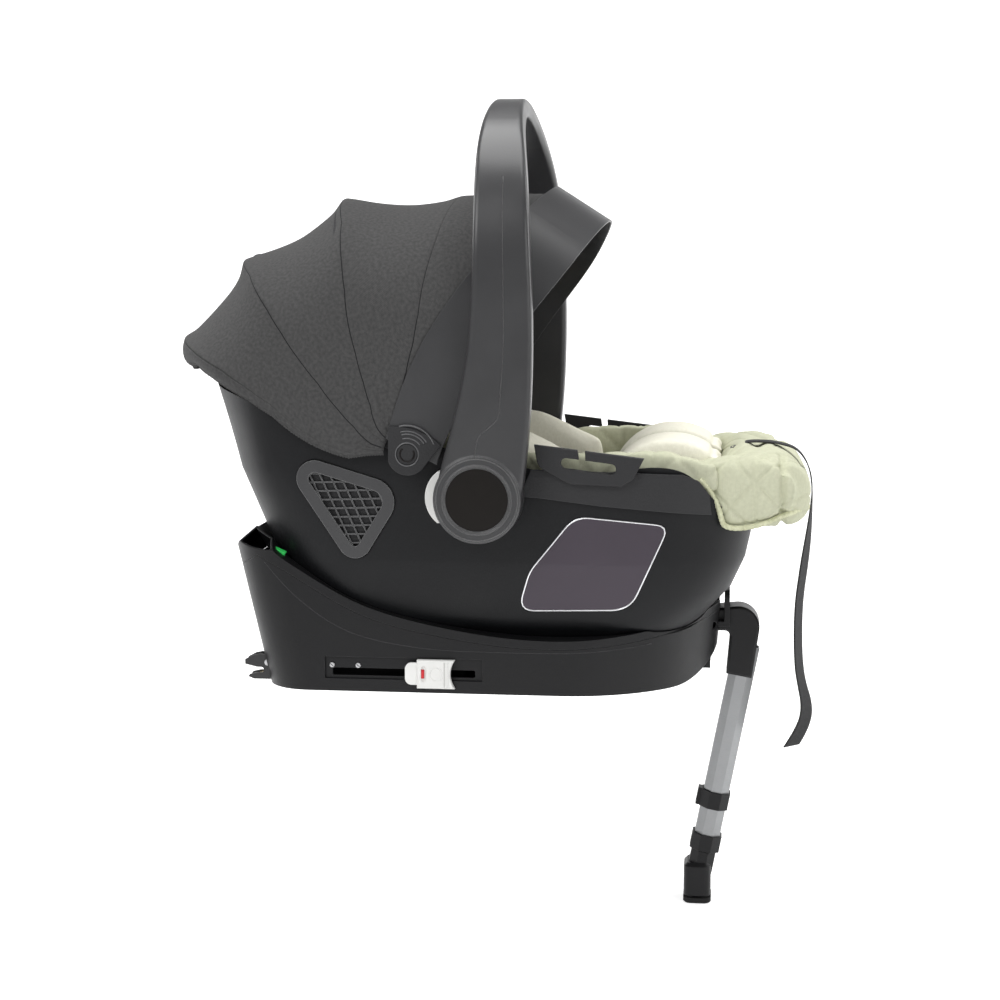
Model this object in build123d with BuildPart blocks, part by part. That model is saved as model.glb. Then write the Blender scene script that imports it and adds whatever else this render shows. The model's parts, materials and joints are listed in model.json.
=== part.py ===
"""Infant car seat: a carrier with a folding canopy, clipped into an ISOFIX base with a support leg.

Frame in millimetres: X forward towards the support leg, Y across, Z up. The origin is midway
between the two lower anchor bars that the base's connectors grip.
"""
import os
from math import atan, cos, radians, sin, tan

from build123d import *

os.makedirs("parts", exist_ok=True)

# ---------------------------------------------------------------- driving dimensions

# Lower anchor bars of the vehicle
ANCHOR_SPACING = 280.0
ANCHOR_BAR_DIAMETER = 6.0

# Carrier shell: a bucket, lofted through level sections
SHELL_WIDTH = 372.0
HALF = SHELL_WIDTH / 2
SHELL_WALL = 4.0
SHELL_FLOOR = 24.0
# level, rear end, front end, share of the width, rear corner radius, front corner radius
SHELL_SECTIONS = (
    (SHELL_FLOOR, 100, 435, 0.72, 60, 70),
    (40, 76, 457, 0.815, 68, 77),
    (60, 50, 481, 0.90, 80, 85),
    (95, 27, 513, 0.945, 85, 90),
    (128, 6, 528, 0.975, 90, 95),
    (222, -52, 548, 1.0, 95, 105),
    (350, -92, 560, 1.0, 100, 115),
)
# Side view of the rim, from head to foot
SHELL_RIM = (
    (-130, 332), (-75, 312), (60, 286), (183, 258), (300, 230),
    (372, 226), (468, 224), (492, 200), (520, 176), (600, 170),
)
# Side view of the padded surface that the child lies on
SEAT_CURVE = (
    (-140, 372), (-60, 300), (10, 228), (120, 150), (220, 104),
    (310, 86), (372, 104), (425, 168), (480, 214), (620, 232),
)

# Soft lining of the shell
FOAM_THICKNESS = 17.0
COVER_THICKNESS = 12.0
COVER_ABOVE_RIM = 16.0
SOFT_GAP = 0.4

# ISOFIX base
BASE_WALL = 2.4
BASE_BOTTOM = -13.0
BASE_CROWN = 172.0
BASE_REAR_LOW = 9.4
BASE_REAR_HIGH = -33.5
BASE_NOSE_LOW = 497.0
BASE_NOSE_HIGH = 512.0
BASE_NOSE_DEPTH = 165.0
BASE_CORNER = 52.0
CRADLE_GAP = 2.0
DECK_WALL = 3.0
SEAM_GAP = 0.4
# Side view of the joint between the two housings, and of the rim above it
SEAM_REAR = ((-70, 89), (5, 133))
SEAM_SIDE = ((5, 133), (46, 111), (113, 73), (197, 50), (311, 37), (409, 43.5), (505, 60), (560, 72))
RIM_REAR = ((-40, 112), (-21, 143), (-6, 159), (10, 166))
RIM_SIDE = (
    (10, 166), (24, 138), (46, 122), (113, 84), (197, 60), (311, 46), (409, 52), (505, 68), (560, 78),
)
HUMP_HEIGHT = 166.0
HUMP_HALF = 90.0
HUMP_SHOULDER = 138.0

# Support leg
LEG_PIVOT = (492.0, 42.0)
LEG_EYE_RADIUS = 12.5
LEG_PIN_RADIUS = 5.0
LEG_TOP = (527.0, -17.0)
LEG_LEAN = 10.8
LEG_TUBE_LENGTH = 214.0
LEG_TUBE_SIZE = (29.0, 32.0)
LEG_TUBE_CHAMFER = 8.5
LEG_TUBE_WALL = 1.6
LEG_SLIDE_GAP = 0.35
LEG_SOCKET = 34.0
LEG_TRAVEL = 150.0
ELBOW_WIDTH = 38.0
ELBOW_OUTLINE = ((513, 29.5), (509, -20), (538, -25), (550, 61))
ELBOW_OUTER_ROUND = 24.0
ELBOW_INNER_ROUND = 6.0
FOOT_SOLE_LEVEL = -291.0
FOOT_SIZE = (31.0, 42.0)
FOOT_HEIGHT = 38.0
FOOT_SOLE_THICKNESS = 6.0
LEG_BAY_WIDTH = 48.0
LEG_BAY_ROOF = 12.2
LEG_BAY_REAR = 150.0
ELBOW_BAY_REAR = 428.0
ELBOW_BAY_WIDTH = 39.2
ELBOW_BAY_TOP = 57.0
LEG_PIN_FIT = 0.05

# ISOFIX connectors
ARM_SIZE = (12.0, 21.0)
ARM_BOTTOM = -8.0
ARM_FRONT = 226.0
JAW_PLATE = 2.5
JAW_GAP = 13.0
JAW_TIP = -17.8
JAW_TOP = 17.6
JAW_BOTTOM = -10.2
JAW_REAR = 34.0
CROSS_TUBE_X = 112.0
CROSS_TUBE_RADIUS = 8.0
SLIDER_REAR = 167.0
SLIDER_FRONT = 221.0
SLIDER_LOW = -7.0
SLIDER_HIGH = 24.0
SLIDER_DEPTH = 6.0
SLIDER_HEAD = 13.0
WINDOW_REAR = 79.0
WINDOW_FRONT = 250.0
WINDOW_LOW = 0.5
WINDOW_HIGH = 24.5
RAIL_PLATE = 3.0

# Handle
HANDLE_PIVOT = (249.4, 201.5)
HUB_RADIUS = 46.0
HUB_DISC_RADIUS = 33.5
HANDLE_TOP = 626.0
HANDLE_DEPTH = 21.0
HANDLE_CLEARANCE = 20.0
HANDLE_CORNER = 174.0
HANDLE_CORNER_TURN = 64.0
HANDLE_REAR_EDGE = (
    (204, 201), (214, 245), (226, 290), (238, 350), (243, 410), (244, 510), (243, 580), (248, 640),
)
HANDLE_FRONT_EDGE = (
    (295, 201), (302, 258), (306, 330), (306, 400), (303, 470), (296, 545), (286, 597), (276, 640),
)
HANDLE_EDGE_ROUND = 5.0
HUB_EDGE = 1.2
PIVOT_BOSS_RADIUS = 18.0
PIVOT_FIT = 0.08
PIVOT_END_GAP = 0.3
BUTTON_TRAVEL = 5.0

# Canopy
CANOPY_PIVOT = (173.0, 246.0)
# bow number: side-view direction in degrees, reach from the pivot
BOWS = {1: (158.0, 302.5), 2: (135.0, 290.0), 3: (110.1, 284.5), 4: (82.5, 271.0)}
BOW_WIDTH = 9.0
BOW_THICKNESS = 2.0
BOW_LAYER = 2.3
BOW_CORNER = 120.0
BOW_CORNER_TURN = 62.0
BOW_EYE_RADIUS = 9.0
CANOPY_PIN_RADIUS = 4.6
FABRIC = 2.0
VISOR_DIRECTION = 57.4
VISOR_REACH = 315.0
VISOR_THICKNESS = 2.2
VISOR_REAR_EDGE = (
    (150, 262), (156, 283), (169, 321), (189, 363), (215, 404), (240, 437), (290, 499), (320, 536),
)
VISOR_FRONT_EDGE = ((204, 235), (219, 272), (255, 325), (302, 391), (340, 441), (372, 489), (390, 515))
VISOR_CAP_THICKNESS = 3.2
# Arcs over and under the fan-shaped cap, from its pin
CAP_OVER = ((-20, 29), (12, 24.5), (36, 10))
CAP_UNDER = ((17, -14), (-3, -22), (-20, -8))
CAP_RING = 12.5
CAP_RING_WIDTH = 2.0
CAP_RING_DEPTH = 0.8
CAP_PIN_DEPTH = 2.2

# Belt guides, rim trims and vents
TRIM_THICKNESS = 5.2
GUIDE_THICKNESS = 7.0
VENT_CORNERS = ((24, 252), (170, 208), (113, 116))
VENT_CORNER_RADII = (20.0, 26.0, 18.0)
VENT_FRAME = 13.0
VENT_PITCH = (11.0, 9.5)
VENT_BAR = 1.7

# Harness
BUCKLE_SIZE = (46.0, 22.0, 58.0)
BUCKLE_CORNER = 6.0
BUCKLE_WELL = (26.0, 30.0, 8.0)
BUCKLE_WELL_CORNER = 5.0
BUCKLE_BUTTON_DEPTH = 5.0
BUTTON_GAP = 0.3
STRAP_WIDTH = 38.0
STRAP_THICKNESS = 2.0
STRAP_SPAN = 110.0
STRAP_REACH = (84.0, 336.0)

VISOR_START = 13.8
BOW_START = 2.0
PIN_FIT = 0.06
FABRIC_START = 11.3
FABRIC_FOOT = 26.0
FABRIC_OVER_BOW = 4.5
SKIRT_EDGE = (170.5, 284.0)
# Direction and reach of the fabric tucked under the visor
VISOR_EDGE = (62.5, 311.0)
HUB_INNER = HALF + 7
HUB_BORE_END = HALF + 23
VISOR_FACE = HALF + VISOR_START + VISOR_THICKNESS
BUTTON_HEIGHT = 16.0
BUTTON_HALF = 27.0
BUTTON_BACK = 57.0
BUTTON_SHOULDER = 44.0
BUTTON_FRONT = 30.0
VENT_LEVEL = 180.0
VENT_CENTRE = (95.0, 190.0)
TRIM_OUTLINE = (
    (290, 201), (302, 230), (461, 226), (478, 219), (489, 204), (491, 183), (375, 192), (309, 200),
)
GUIDE_OUTLINE = ((306, 257), (421, 243.5), (410, 222), (397, 214), (343, 216), (310, 234))
GUIDE_SLOT = (363.0, 235.0, 58.0, 11.0)
GUIDE_GAP = ((350, 260), (359, 259), (360, 235), (354, 235))
LATCH_BARS = (150.0, 385.0)
LATCH_BAR_LEVEL = 32.0
LATCH_BAR_RADIUS = 4.0
LATCH_POCKET = (44.0, 56.0, 22.0)
LATCH_POCKET_SHIFT = 8.0
FOOT_ROLL_HALF = 156.0
ROLL_OUTLINE = (
    (470, 216), (540, 241), (592, 229), (599, 178), (580, 164), (553, 164), (553, 150), (470, 150),
)
# Corner of the outline and its radius
ROLL_ROUNDS = (((592, 229), 30.0), ((599, 178), 12.0), ((540, 241), 40.0))
ROLL_REAR = 261.0
ROLL_LENGTH = 338.0
ROLL_CORNER = 80.0
ROLL_LOW = 150.0
ROLL_TOP = 243.0
ROLL_SHOULDER = 34.0
ROLL_HEM = 12.0
INSERT_WING = ((60, 140), (60, 262), (130, 300), (200, 306), (292, 287), (364, 246), (366, 60), (60, 60))
INSERT_WING_INNER = 104.0
INSERT_MAT = 22.0
PILLOW_THICKNESS = 26.0
PILLOW_REACH = (-20.0, 78.0)
BOLSTER_INNER = 16.0
BOLSTER_OUTER = 124.0
BOLSTER_FRONT = 508.0
BOLSTER_TOP = ((374, 214), (436, 258), (508, 228))
BOLSTER_BELOW = ((508, 228), (500, 200), (430, 150), (374, 100), (374, 214))
BUCKLE_X = 352.0
BUCKLE_LOW = 134.0
CROTCH_LOW = 118.0
WEB_WIDTH = 25.0
WEB_THICKNESS = 1.6
ADJUSTER_PLANE = Plane(origin=(520, 0, 233.9), x_dir=(0.9417, 0, 0.3363), z_dir=(-0.3363, 0, 0.9417))
ADJUSTER_SIZE = (24.0, 46.0)
ADJUSTER_CORNER = 5.0
ADJUSTER_THICKNESS = 3.5
ADJUSTER_SLOT = 6.0
ADJUSTER_TAB_PLACE = -4.0
ADJUSTER_TAB_LOW = 3.4
ADJUSTER_TAB_HEIGHT = 3.0
ADJUSTER_WELL_FLOOR = 2.0
ADJUSTER_WELL = (9.0, 20.0)
ADJUSTER_WELL_CORNER = 3.0
WEB_PATH = (
    (525.4, 236.6), (523.7, 241.4), (531.5, 243.3), (545, 241.2), (562, 238.2), (597, 229), (601, 180),
    (594, 125), (591, 75), (592, 20), (590, -30), (598, -62), (584, -106),
)
WEB_RADII = (2.2, 12, 20, 20, 18, 30, 60, 60, 60, 40, 20)
RELEASE_X = 506.0
RELEASE_DEPTH = 6.0
RELEASE_HALF = 28.8
RELEASE_LEG = 6.0
RELEASE_TOP = 77.0
RELEASE_BRIDGE = 62.5
RELEASE_ARM = (36.0, 42.0)
RELEASE_DROP = 485.0
RELEASE_PLATE = (15.2, 18.2)
RELEASE_PLATE_FRONT = 424.0
RELEASE_TRAVEL = 8.0
RELEASE_GAP = 1.5
RELEASE_NOTCH_MARGIN = 4.0
LATCH_CLAW = (36.6, 41.0)
LATCH_CLAW_REACH = 5.5
LATCH_POST = (18.0, 24.0)
LATCH_HALF = 15.0
HOOK_PIVOT = (7.5, 8.5)
HOOK_PIN_RADIUS = 2.4
HOOK_PIN_FIT = 0.08
# Slider stem through the rail slot: middle x, middle z, length, height
SLIDER_STEM = (194.0, 8.0, 26.0, 7.0)
LEG_PIN_STICK_OUT = 2.6
COLLAR_HEIGHT = 16.0
LEG_TUBE_STUB = 22.0
CLIP_START = 146.0
CLIP_LENGTH = 20.0
FOOT_SOLE_GAP = 3.0
PLUNGER_RADIUS = 6.0
PLUNGER_LENGTH = 14.0
INDICATOR = (27.0, -167.0, 134.5)

# Reaches used by cutting tools
FAR = 320.0
SKY = 900.0
DEEP = -500.0

SIDES = {"left": 1, "right": -1}


# ---------------------------------------------------------------- shared forms

def save(piece, name):
    """Label a finished piece and write its file."""
    piece.label = name
    export_step(piece, f"parts/{name}.step")


def above(points, lift=0.0, corner=None):
    """Everything above a side-view curve, right across the seat."""
    with BuildPart() as region:
        with BuildSketch(Plane.XZ):
            with BuildLine():
                start = (points[0][0], points[0][1] + lift)
                if corner:
                    straight = [(x, z + lift) for x, z in corner]
                    Polyline(*straight)
                    start = straight[0]
                curve = Spline(*[(x, z + lift) for x, z in points])
                end = curve @ 1
                Polyline((end.X, end.Y), (end.X, SKY), (start[0], SKY), start)
            make_face()
        extrude(amount=FAR, both=True)
    return region.part


def shell_form(inset=0.0):
    """The shell's outer form, moved inwards (or outwards) everywhere by an inset."""
    with BuildPart() as form:
        for number, (level, rear, front, share, rear_corner, front_corner) in enumerate(SHELL_SECTIONS):
            height = level + inset if number == 0 else level
            with BuildSketch(Plane.XY.offset(height)) as section:
                with Locations(((rear + front) / 2, 0)):
                    Rectangle(front - rear - 2 * inset, 2 * (HALF * share - inset))
                fillet(section.vertices().sort_by(Axis.X)[:2], rear_corner - inset)
                fillet(section.vertices().sort_by(Axis.X)[-2:], front_corner - inset)
        loft(ruled=True)
    return form.part


def base_form(inset=0.0):
    """The base's outer form below its crown, with a leaning rear face and a round nose."""
    with BuildPart() as form:
        for level, rear, nose in (
            (BASE_BOTTOM + inset, BASE_REAR_LOW, BASE_NOSE_LOW),
            (BASE_CROWN, BASE_REAR_HIGH, BASE_NOSE_HIGH),
        ):
            with BuildSketch(Plane.XY.offset(level)) as section:
                with BuildLine():
                    half = HALF - inset
                    middle = nose - BASE_NOSE_DEPTH
                    depth = BASE_NOSE_DEPTH - inset
                    EllipticalCenterArc((middle, 0), depth, half, start_angle=-90, arc_size=180)
                    Polyline((middle, half), (rear + inset, half), (rear + inset, -half), (middle, -half))
                make_face()
                fillet(section.vertices().sort_by(Axis.X)[:2], BASE_CORNER - inset)
        loft()
    return form.part


def arch(half, top, corner=BOW_CORNER, turn=BOW_CORNER_TURN, foot=0.0):
    """Draw an arch in the current line context: straight sides, round shoulders and a flatter crown."""
    run = half - corner * (1 - cos(radians(turn)))
    crown = run / cos(radians(turn))
    spring = top - corner * sin(radians(turn)) - crown * (1 - sin(radians(turn)))
    Line((-half, foot), (-half, spring))
    shoulder = JernArc((-half, spring), (0, 1), corner, -turn)
    over = JernArc(shoulder @ 1, shoulder % 1, crown, -2 * (90 - turn))
    JernArc(over @ 1, over % 1, corner, -turn)
    Line((half, spring), (half, foot))


def arch_face(half, top, **shape):
    """An arch filled down to its feet."""
    with BuildSketch(mode=Mode.PRIVATE) as face:
        with BuildLine():
            arch(half, top, **shape)
            foot = shape.get("foot", 0.0)
            Line((half, foot), (-half, foot))
        make_face()
    return face.sketch


def canopy_plane(direction, shift=0.0):
    """The plane through the canopy's pivot axis at a side-view direction: local x across, y outwards."""
    angle = radians(direction)
    normal = (sin(angle), 0, -cos(angle))
    x, z = CANOPY_PIVOT
    return Plane(origin=(x + normal[0] * shift, 0, z + normal[2] * shift), x_dir=(0, 1, 0), z_dir=normal)


def leg_plane(along=0.0):
    """The plane across the leg at a distance down from its top: local x forward, y across."""
    lean = radians(LEG_LEAN)
    down = (-sin(lean), 0, -cos(lean))
    forward = (cos(lean), 0, -sin(lean))
    x, z = LEG_TOP
    return Plane(origin=(x + down[0] * along, 0, z + down[2] * along), x_dir=forward, z_dir=down)


# ---------------------------------------------------------------- base housings

def base_side(inset=0.0):
    """Side view of the base with its rounded chin, moved inwards by an inset."""
    with BuildPart() as region:
        with BuildSketch(Plane.XZ):
            with BuildLine():
                low = BASE_BOTTOM + inset
                Polyline((430, low), (-100, low), (-100, SKY), (560, SKY), (560, 60), (506 - inset, 60))
                Spline((506 - inset, 60), (495 - inset, 10), (472 - inset, low + 5), (430, low),
                       tangents=[(-0.2, -1), (-1, 0)])
            make_face()
        extrude(amount=FAR, both=True)
    return region.part


def leg_bay(wall):
    """The space for the folded leg, grown by a wall: a long low bay and the elbow's taller one."""
    nose = BASE_NOSE_HIGH + 10 if wall == 0 else BASE_NOSE_LOW - 6
    with BuildPart() as bay:
        with BuildSketch(Plane.XY.offset(BASE_BOTTOM - (1 if wall == 0 else 0))):
            with Locations(((LEG_BAY_REAR + ELBOW_BAY_REAR) / 2, 0)):
                Rectangle(ELBOW_BAY_REAR - LEG_BAY_REAR + 2 * wall, LEG_BAY_WIDTH + 2 * wall)
        extrude(amount=LEG_BAY_ROOF + wall - BASE_BOTTOM + (1 if wall == 0 else 0))
        with BuildSketch(Plane.XY.offset(BASE_BOTTOM - (1 if wall == 0 else 0))):
            with Locations(((ELBOW_BAY_REAR + nose) / 2, 0)):
                Rectangle(nose - ELBOW_BAY_REAR, ELBOW_BAY_WIDTH + 2 * wall)
        extrude(amount=(ELBOW_BAY_TOP if wall else SKY) - BASE_BOTTOM)
    return bay.part


def release_notch():
    """The opening in the base's nose that the release lever slides in."""
    rear = RELEASE_X - RELEASE_TRAVEL - RELEASE_NOTCH_MARGIN
    with BuildPart() as notch:
        with Locations(((rear + BASE_NOSE_HIGH + 30) / 2, 0, RELEASE_ARM[0] - RELEASE_GAP)):
            Box(BASE_NOSE_HIGH + 30 - rear, 2 * (RELEASE_HALF + RELEASE_GAP), SKY,
                align=(Align.CENTER, Align.CENTER, Align.MIN))
    return notch.part


def base_lower_housing():
    """The tub: walls, floor, leg bay, connector openings and slider windows."""
    arm_half = JAW_GAP / 2 + JAW_PLATE + 1.0
    with BuildPart() as tub:
        add(base_form())
        add(base_side(), mode=Mode.INTERSECT)
        add(base_form(BASE_WALL).intersect(base_side(BASE_WALL)), mode=Mode.SUBTRACT)
        add(leg_bay(BASE_WALL))
        add(leg_bay(0.0), mode=Mode.SUBTRACT)
        add(shell_form(-CRADLE_GAP - DECK_WALL - SEAM_GAP), mode=Mode.SUBTRACT)
        add(release_notch(), mode=Mode.SUBTRACT)
        for side in (1, -1):
            with Locations((0, side * ANCHOR_SPACING / 2, (JAW_TOP + JAW_BOTTOM) / 2)):
                Box(60, 2 * arm_half, JAW_TOP - JAW_BOTTOM + 0.8, mode=Mode.SUBTRACT)
            with Locations(((WINDOW_REAR + WINDOW_FRONT) / 2, side * HALF, (WINDOW_LOW + WINDOW_HIGH) / 2)):
                Box(WINDOW_FRONT - WINDOW_REAR, 3 * BASE_WALL, WINDOW_HIGH - WINDOW_LOW, mode=Mode.SUBTRACT)
        with Locations(Location((LEG_PIVOT[0], 0, LEG_PIVOT[1]), (90, 0, 0))):
            Cylinder(LEG_PIN_RADIUS + LEG_PIN_FIT, 3 * ELBOW_WIDTH, mode=Mode.SUBTRACT)
        add(above(SEAM_SIDE, -SEAM_GAP, SEAM_REAR), mode=Mode.SUBTRACT)
    return tub.part


def hump():
    """Front view of the base's top, high in the middle behind the head."""
    with BuildPart() as region:
        with BuildSketch(Plane.YZ):
            with BuildLine():
                left = Line((-FAR, DEEP), (-FAR, HUMP_SHOULDER - 30))
                Spline(left @ 1, (-HALF, HUMP_SHOULDER), (-HUMP_HALF, HUMP_HEIGHT),
                       (HUMP_HALF, HUMP_HEIGHT), (HALF, HUMP_SHOULDER), (FAR, HUMP_SHOULDER - 30))
                Polyline((FAR, HUMP_SHOULDER - 30), (FAR, DEEP), (-FAR, DEEP))
            make_face()
        extrude(amount=SKY, both=True)
    return region.part


def rim_void():
    """The hollow under the base's rim, outside the cradle."""
    with BuildPart() as void:
        add(base_form(BASE_WALL))
        add(above(RIM_SIDE, -DECK_WALL, RIM_REAR), mode=Mode.SUBTRACT)
        add(shell_form(-CRADLE_GAP - DECK_WALL), mode=Mode.SUBTRACT)
    return void.part


def base_upper_housing():
    """The deck: a rim round the base and the cradle that the carrier sits in."""
    with BuildPart() as deck:
        add(base_form())
        add(above(SEAM_SIDE, 0, SEAM_REAR), mode=Mode.INTERSECT)
        add(rim_void(), mode=Mode.SUBTRACT)
        add(shell_form(-CRADLE_GAP - DECK_WALL).intersect(base_form(BASE_WALL + SEAM_GAP)))
        add(above(RIM_SIDE, 0, RIM_REAR), mode=Mode.SUBTRACT)
        add(hump(), mode=Mode.INTERSECT)
        add(shell_form(-CRADLE_GAP), mode=Mode.SUBTRACT)
        add(release_notch(), mode=Mode.SUBTRACT)
        with Locations((ELBOW_BAY_REAR + 50 + FAR / 2, 0, ELBOW_BAY_TOP + 5.5 - SKY / 2)):
            Box(FAR, ELBOW_BAY_WIDTH, SKY, mode=Mode.SUBTRACT)
        for x in LATCH_BARS:
            with Locations((x + (LATCH_BAR_RADIUS + LATCH_POST[1]) / 2 + 1, 0, SHELL_FLOOR)):
                Box(LATCH_POST[1] - LATCH_BAR_RADIUS, 2 * (LATCH_HALF + 1), 20, mode=Mode.SUBTRACT)
        add(indicator_form(0.3), mode=Mode.SUBTRACT)
    return deck.part


def indicator_form(grow):
    """The lens's outline on the rim's sloping top, grown by a gap for its pocket."""
    with BuildPart() as form:
        with BuildSketch(Plane(origin=INDICATOR, x_dir=(0.9, 0, -0.44), z_dir=(0.4, -0.17, 0.9))):
            RectangleRounded(13 + 2 * grow, 7 + 2 * grow, 1.5)
        extrude(amount=2.5 + grow, both=True)
    return form.part


def indicator_window():
    """The lens that shows whether the carrier is locked, set in the rim on the right side."""
    return indicator_form(0.0)


# ---------------------------------------------------------------- connectors and sliders

def isofix_arm(side):
    """One connector arm: a box tube carrying two jaw plates that grip an anchor bar."""
    middle = side * ANCHOR_SPACING / 2
    slot = ANCHOR_BAR_DIAMETER / 2 + 0.1
    with BuildPart() as arm:
        with BuildSketch(Plane.XY.offset(ARM_BOTTOM)):
            with Locations(((JAW_REAR - 12 + ARM_FRONT) / 2, middle)):
                Rectangle(ARM_FRONT - JAW_REAR + 12, ARM_SIZE[0])
        extrude(amount=ARM_SIZE[1])
        with Locations(((JAW_REAR + ARM_FRONT) / 2 + 20, middle, ARM_BOTTOM + ARM_SIZE[1] / 2)):
            Box(ARM_FRONT - JAW_REAR, ARM_SIZE[0] - 4, ARM_SIZE[1] - 4, mode=Mode.SUBTRACT)
        for edge in (-1, 1):
            near = middle + edge * JAW_GAP / 2
            with BuildSketch(Plane.XZ.offset(-near)):
                with BuildLine():
                    Polyline((JAW_REAR, JAW_TOP - 3), (-2, JAW_TOP), (-9, JAW_TOP - 1.5),
                             (JAW_TIP, 11.5), (JAW_TIP, 6.2), (-4, slot))
                    Line((-4, slot), (0, slot))
                    ThreePointArc((0, slot), (slot, 0), (0, -slot))
                    Polyline((0, -slot), (-4, -slot), (JAW_TIP + 5, -5.2), (JAW_TIP + 3.4, -7.6),
                             (-8, JAW_BOTTOM), (JAW_REAR, JAW_BOTTOM))
                    Line((JAW_REAR, JAW_BOTTOM), (JAW_REAR, JAW_TOP - 3))
                make_face()
            extrude(amount=-edge * JAW_PLATE)
        with Locations(Location((HOOK_PIVOT[0], middle, HOOK_PIVOT[1]), (90, 0, 0))):
            Cylinder(HOOK_PIN_RADIUS, JAW_GAP + 2 * JAW_PLATE + 2)
        with Locations(Location((JAW_REAR - 6, middle, 3), (90, 0, 0))):
            Cylinder(HOOK_PIN_RADIUS, JAW_GAP + 2 * JAW_PLATE + 2)
        with Locations((JAW_REAR - 8, middle, 3)):
            Box(8, JAW_GAP + 1, 12)
    return arm.part


def isofix_hook(side):
    """The claw between the jaw plates; it swings up in front of the anchor bar."""
    middle = side * ANCHOR_SPACING / 2
    inner = ANCHOR_BAR_DIAMETER / 2 + 0.9
    x, z = HOOK_PIVOT
    with BuildPart() as hook:
        with BuildSketch(Plane.XZ.offset(-middle)):
            with BuildLine():
                ThreePointArc((0, -inner), (inner, 0), (0.5, inner))
                Line((0.5, inner), (x - 4.6, z + 1))
                ThreePointArc((x - 4.6, z + 1), (x, z + 4.8), (x + 4.8, z))
                Line((x + 4.8, z), (9.6, -3))
                Spline((9.6, -3), (4, -8.6), (-7.5, -9.2), tangents=[(-0.5, -1), (-1, 0.1)])
                Line((-7.5, -9.2), (-8, -6.2))
                Line((-8, -6.2), (0, -inner))
            make_face()
            with Locations((x, z)):
                Circle(HOOK_PIN_RADIUS + HOOK_PIN_FIT, mode=Mode.SUBTRACT)
        extrude(amount=(JAW_GAP - 5) / 2, both=True)
    return hook.part


def isofix_cross_tube():
    """The steel tube that keeps both connector arms together."""
    half = ANCHOR_SPACING / 2 - ARM_SIZE[0] / 2
    with BuildPart() as tube:
        with BuildSketch(Plane.XZ.offset(half)):
            with Locations((CROSS_TUBE_X, ARM_BOTTOM + ARM_SIZE[1] / 2)):
                Circle(CROSS_TUBE_RADIUS)
                Circle(CROSS_TUBE_RADIUS - 1.5, mode=Mode.SUBTRACT)
        extrude(amount=-2 * half)
    return tube.part


def slider_rail(side):
    """The slotted plate behind one slider window."""
    outer = HALF - BASE_WALL - 0.3
    with BuildPart() as rail:
        with BuildSketch(Plane.XZ.offset(-side * outer)):
            with Locations(((WINDOW_REAR + WINDOW_FRONT) / 2, (WINDOW_LOW + WINDOW_HIGH) / 2)):
                RectangleRounded(WINDOW_FRONT - WINDOW_REAR + 12, WINDOW_HIGH - WINDOW_LOW + 10, 4)
            with Locations(((WINDOW_REAR + WINDOW_FRONT) / 2, SLIDER_STEM[1])):
                RectangleRounded(WINDOW_FRONT - WINDOW_REAR - 16, SLIDER_STEM[3] + 1.2, 2,
                                 mode=Mode.SUBTRACT)
        extrude(amount=side * RAIL_PLATE)
    return rail.part


def isofix_slider(side):
    """The white grip outside the base, its neck and the stem that moves the arm."""
    face = HALF + 0.5
    middle_z = (SLIDER_LOW + SLIDER_HIGH) / 2
    height = SLIDER_HIGH - SLIDER_LOW
    stem_x, stem_z, stem_length, stem_height = SLIDER_STEM
    with BuildPart() as slider:
        with BuildSketch(Plane.XZ.offset(-side * face)):
            with BuildLine():
                rear = SLIDER_REAR + SLIDER_HEAD
                low = Line((rear, SLIDER_LOW), (SLIDER_FRONT, SLIDER_LOW))
                bow = ThreePointArc(low @ 1, (SLIDER_FRONT - 5, middle_z), (SLIDER_FRONT, SLIDER_HIGH))
                Polyline(bow @ 1, (rear, SLIDER_HIGH), low @ 0)
            make_face()
        extrude(amount=-side * SLIDER_DEPTH)
        chamfer(slider.faces().sort_by(Axis.Y)[-1 if side > 0 else 0].edges(), 1.0)
        with BuildSketch(Plane.XZ.offset(-side * face)):
            with Locations((SLIDER_REAR + 12, middle_z)):
                RectangleRounded(24, height - 7, 7)
        extrude(amount=-side * (SLIDER_DEPTH - 2))
        with BuildSketch(Plane.XZ.offset(-side * (face + SLIDER_DEPTH))):
            with Locations((SLIDER_REAR + 20.5, middle_z)):
                SlotOverall(17, 5.6, rotation=90)
            with Locations((SLIDER_FRONT - 11, middle_z)):
                Rectangle(1.4, height - 4)
        extrude(amount=side * 1.2, mode=Mode.SUBTRACT)
        with BuildSketch(Plane.XZ.offset(-side * face)):
            with Locations((stem_x, stem_z)):
                Rectangle(stem_length, stem_height)
        extrude(amount=side * (face - ANCHOR_SPACING / 2 - ARM_SIZE[0] / 2))
    return slider.part


# ---------------------------------------------------------------- support leg

def leg_section(size, chamfer_size, wall=0.0):
    """Draw the eight-sided tube section, or its bore when a wall is given."""
    with BuildSketch(mode=Mode.PRIVATE) as octagon:
        Rectangle(size[0] - 2 * wall, size[1] - 2 * wall)
        chamfer(octagon.vertices(), chamfer_size - 0.6 * wall)
    return octagon.sketch


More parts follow.
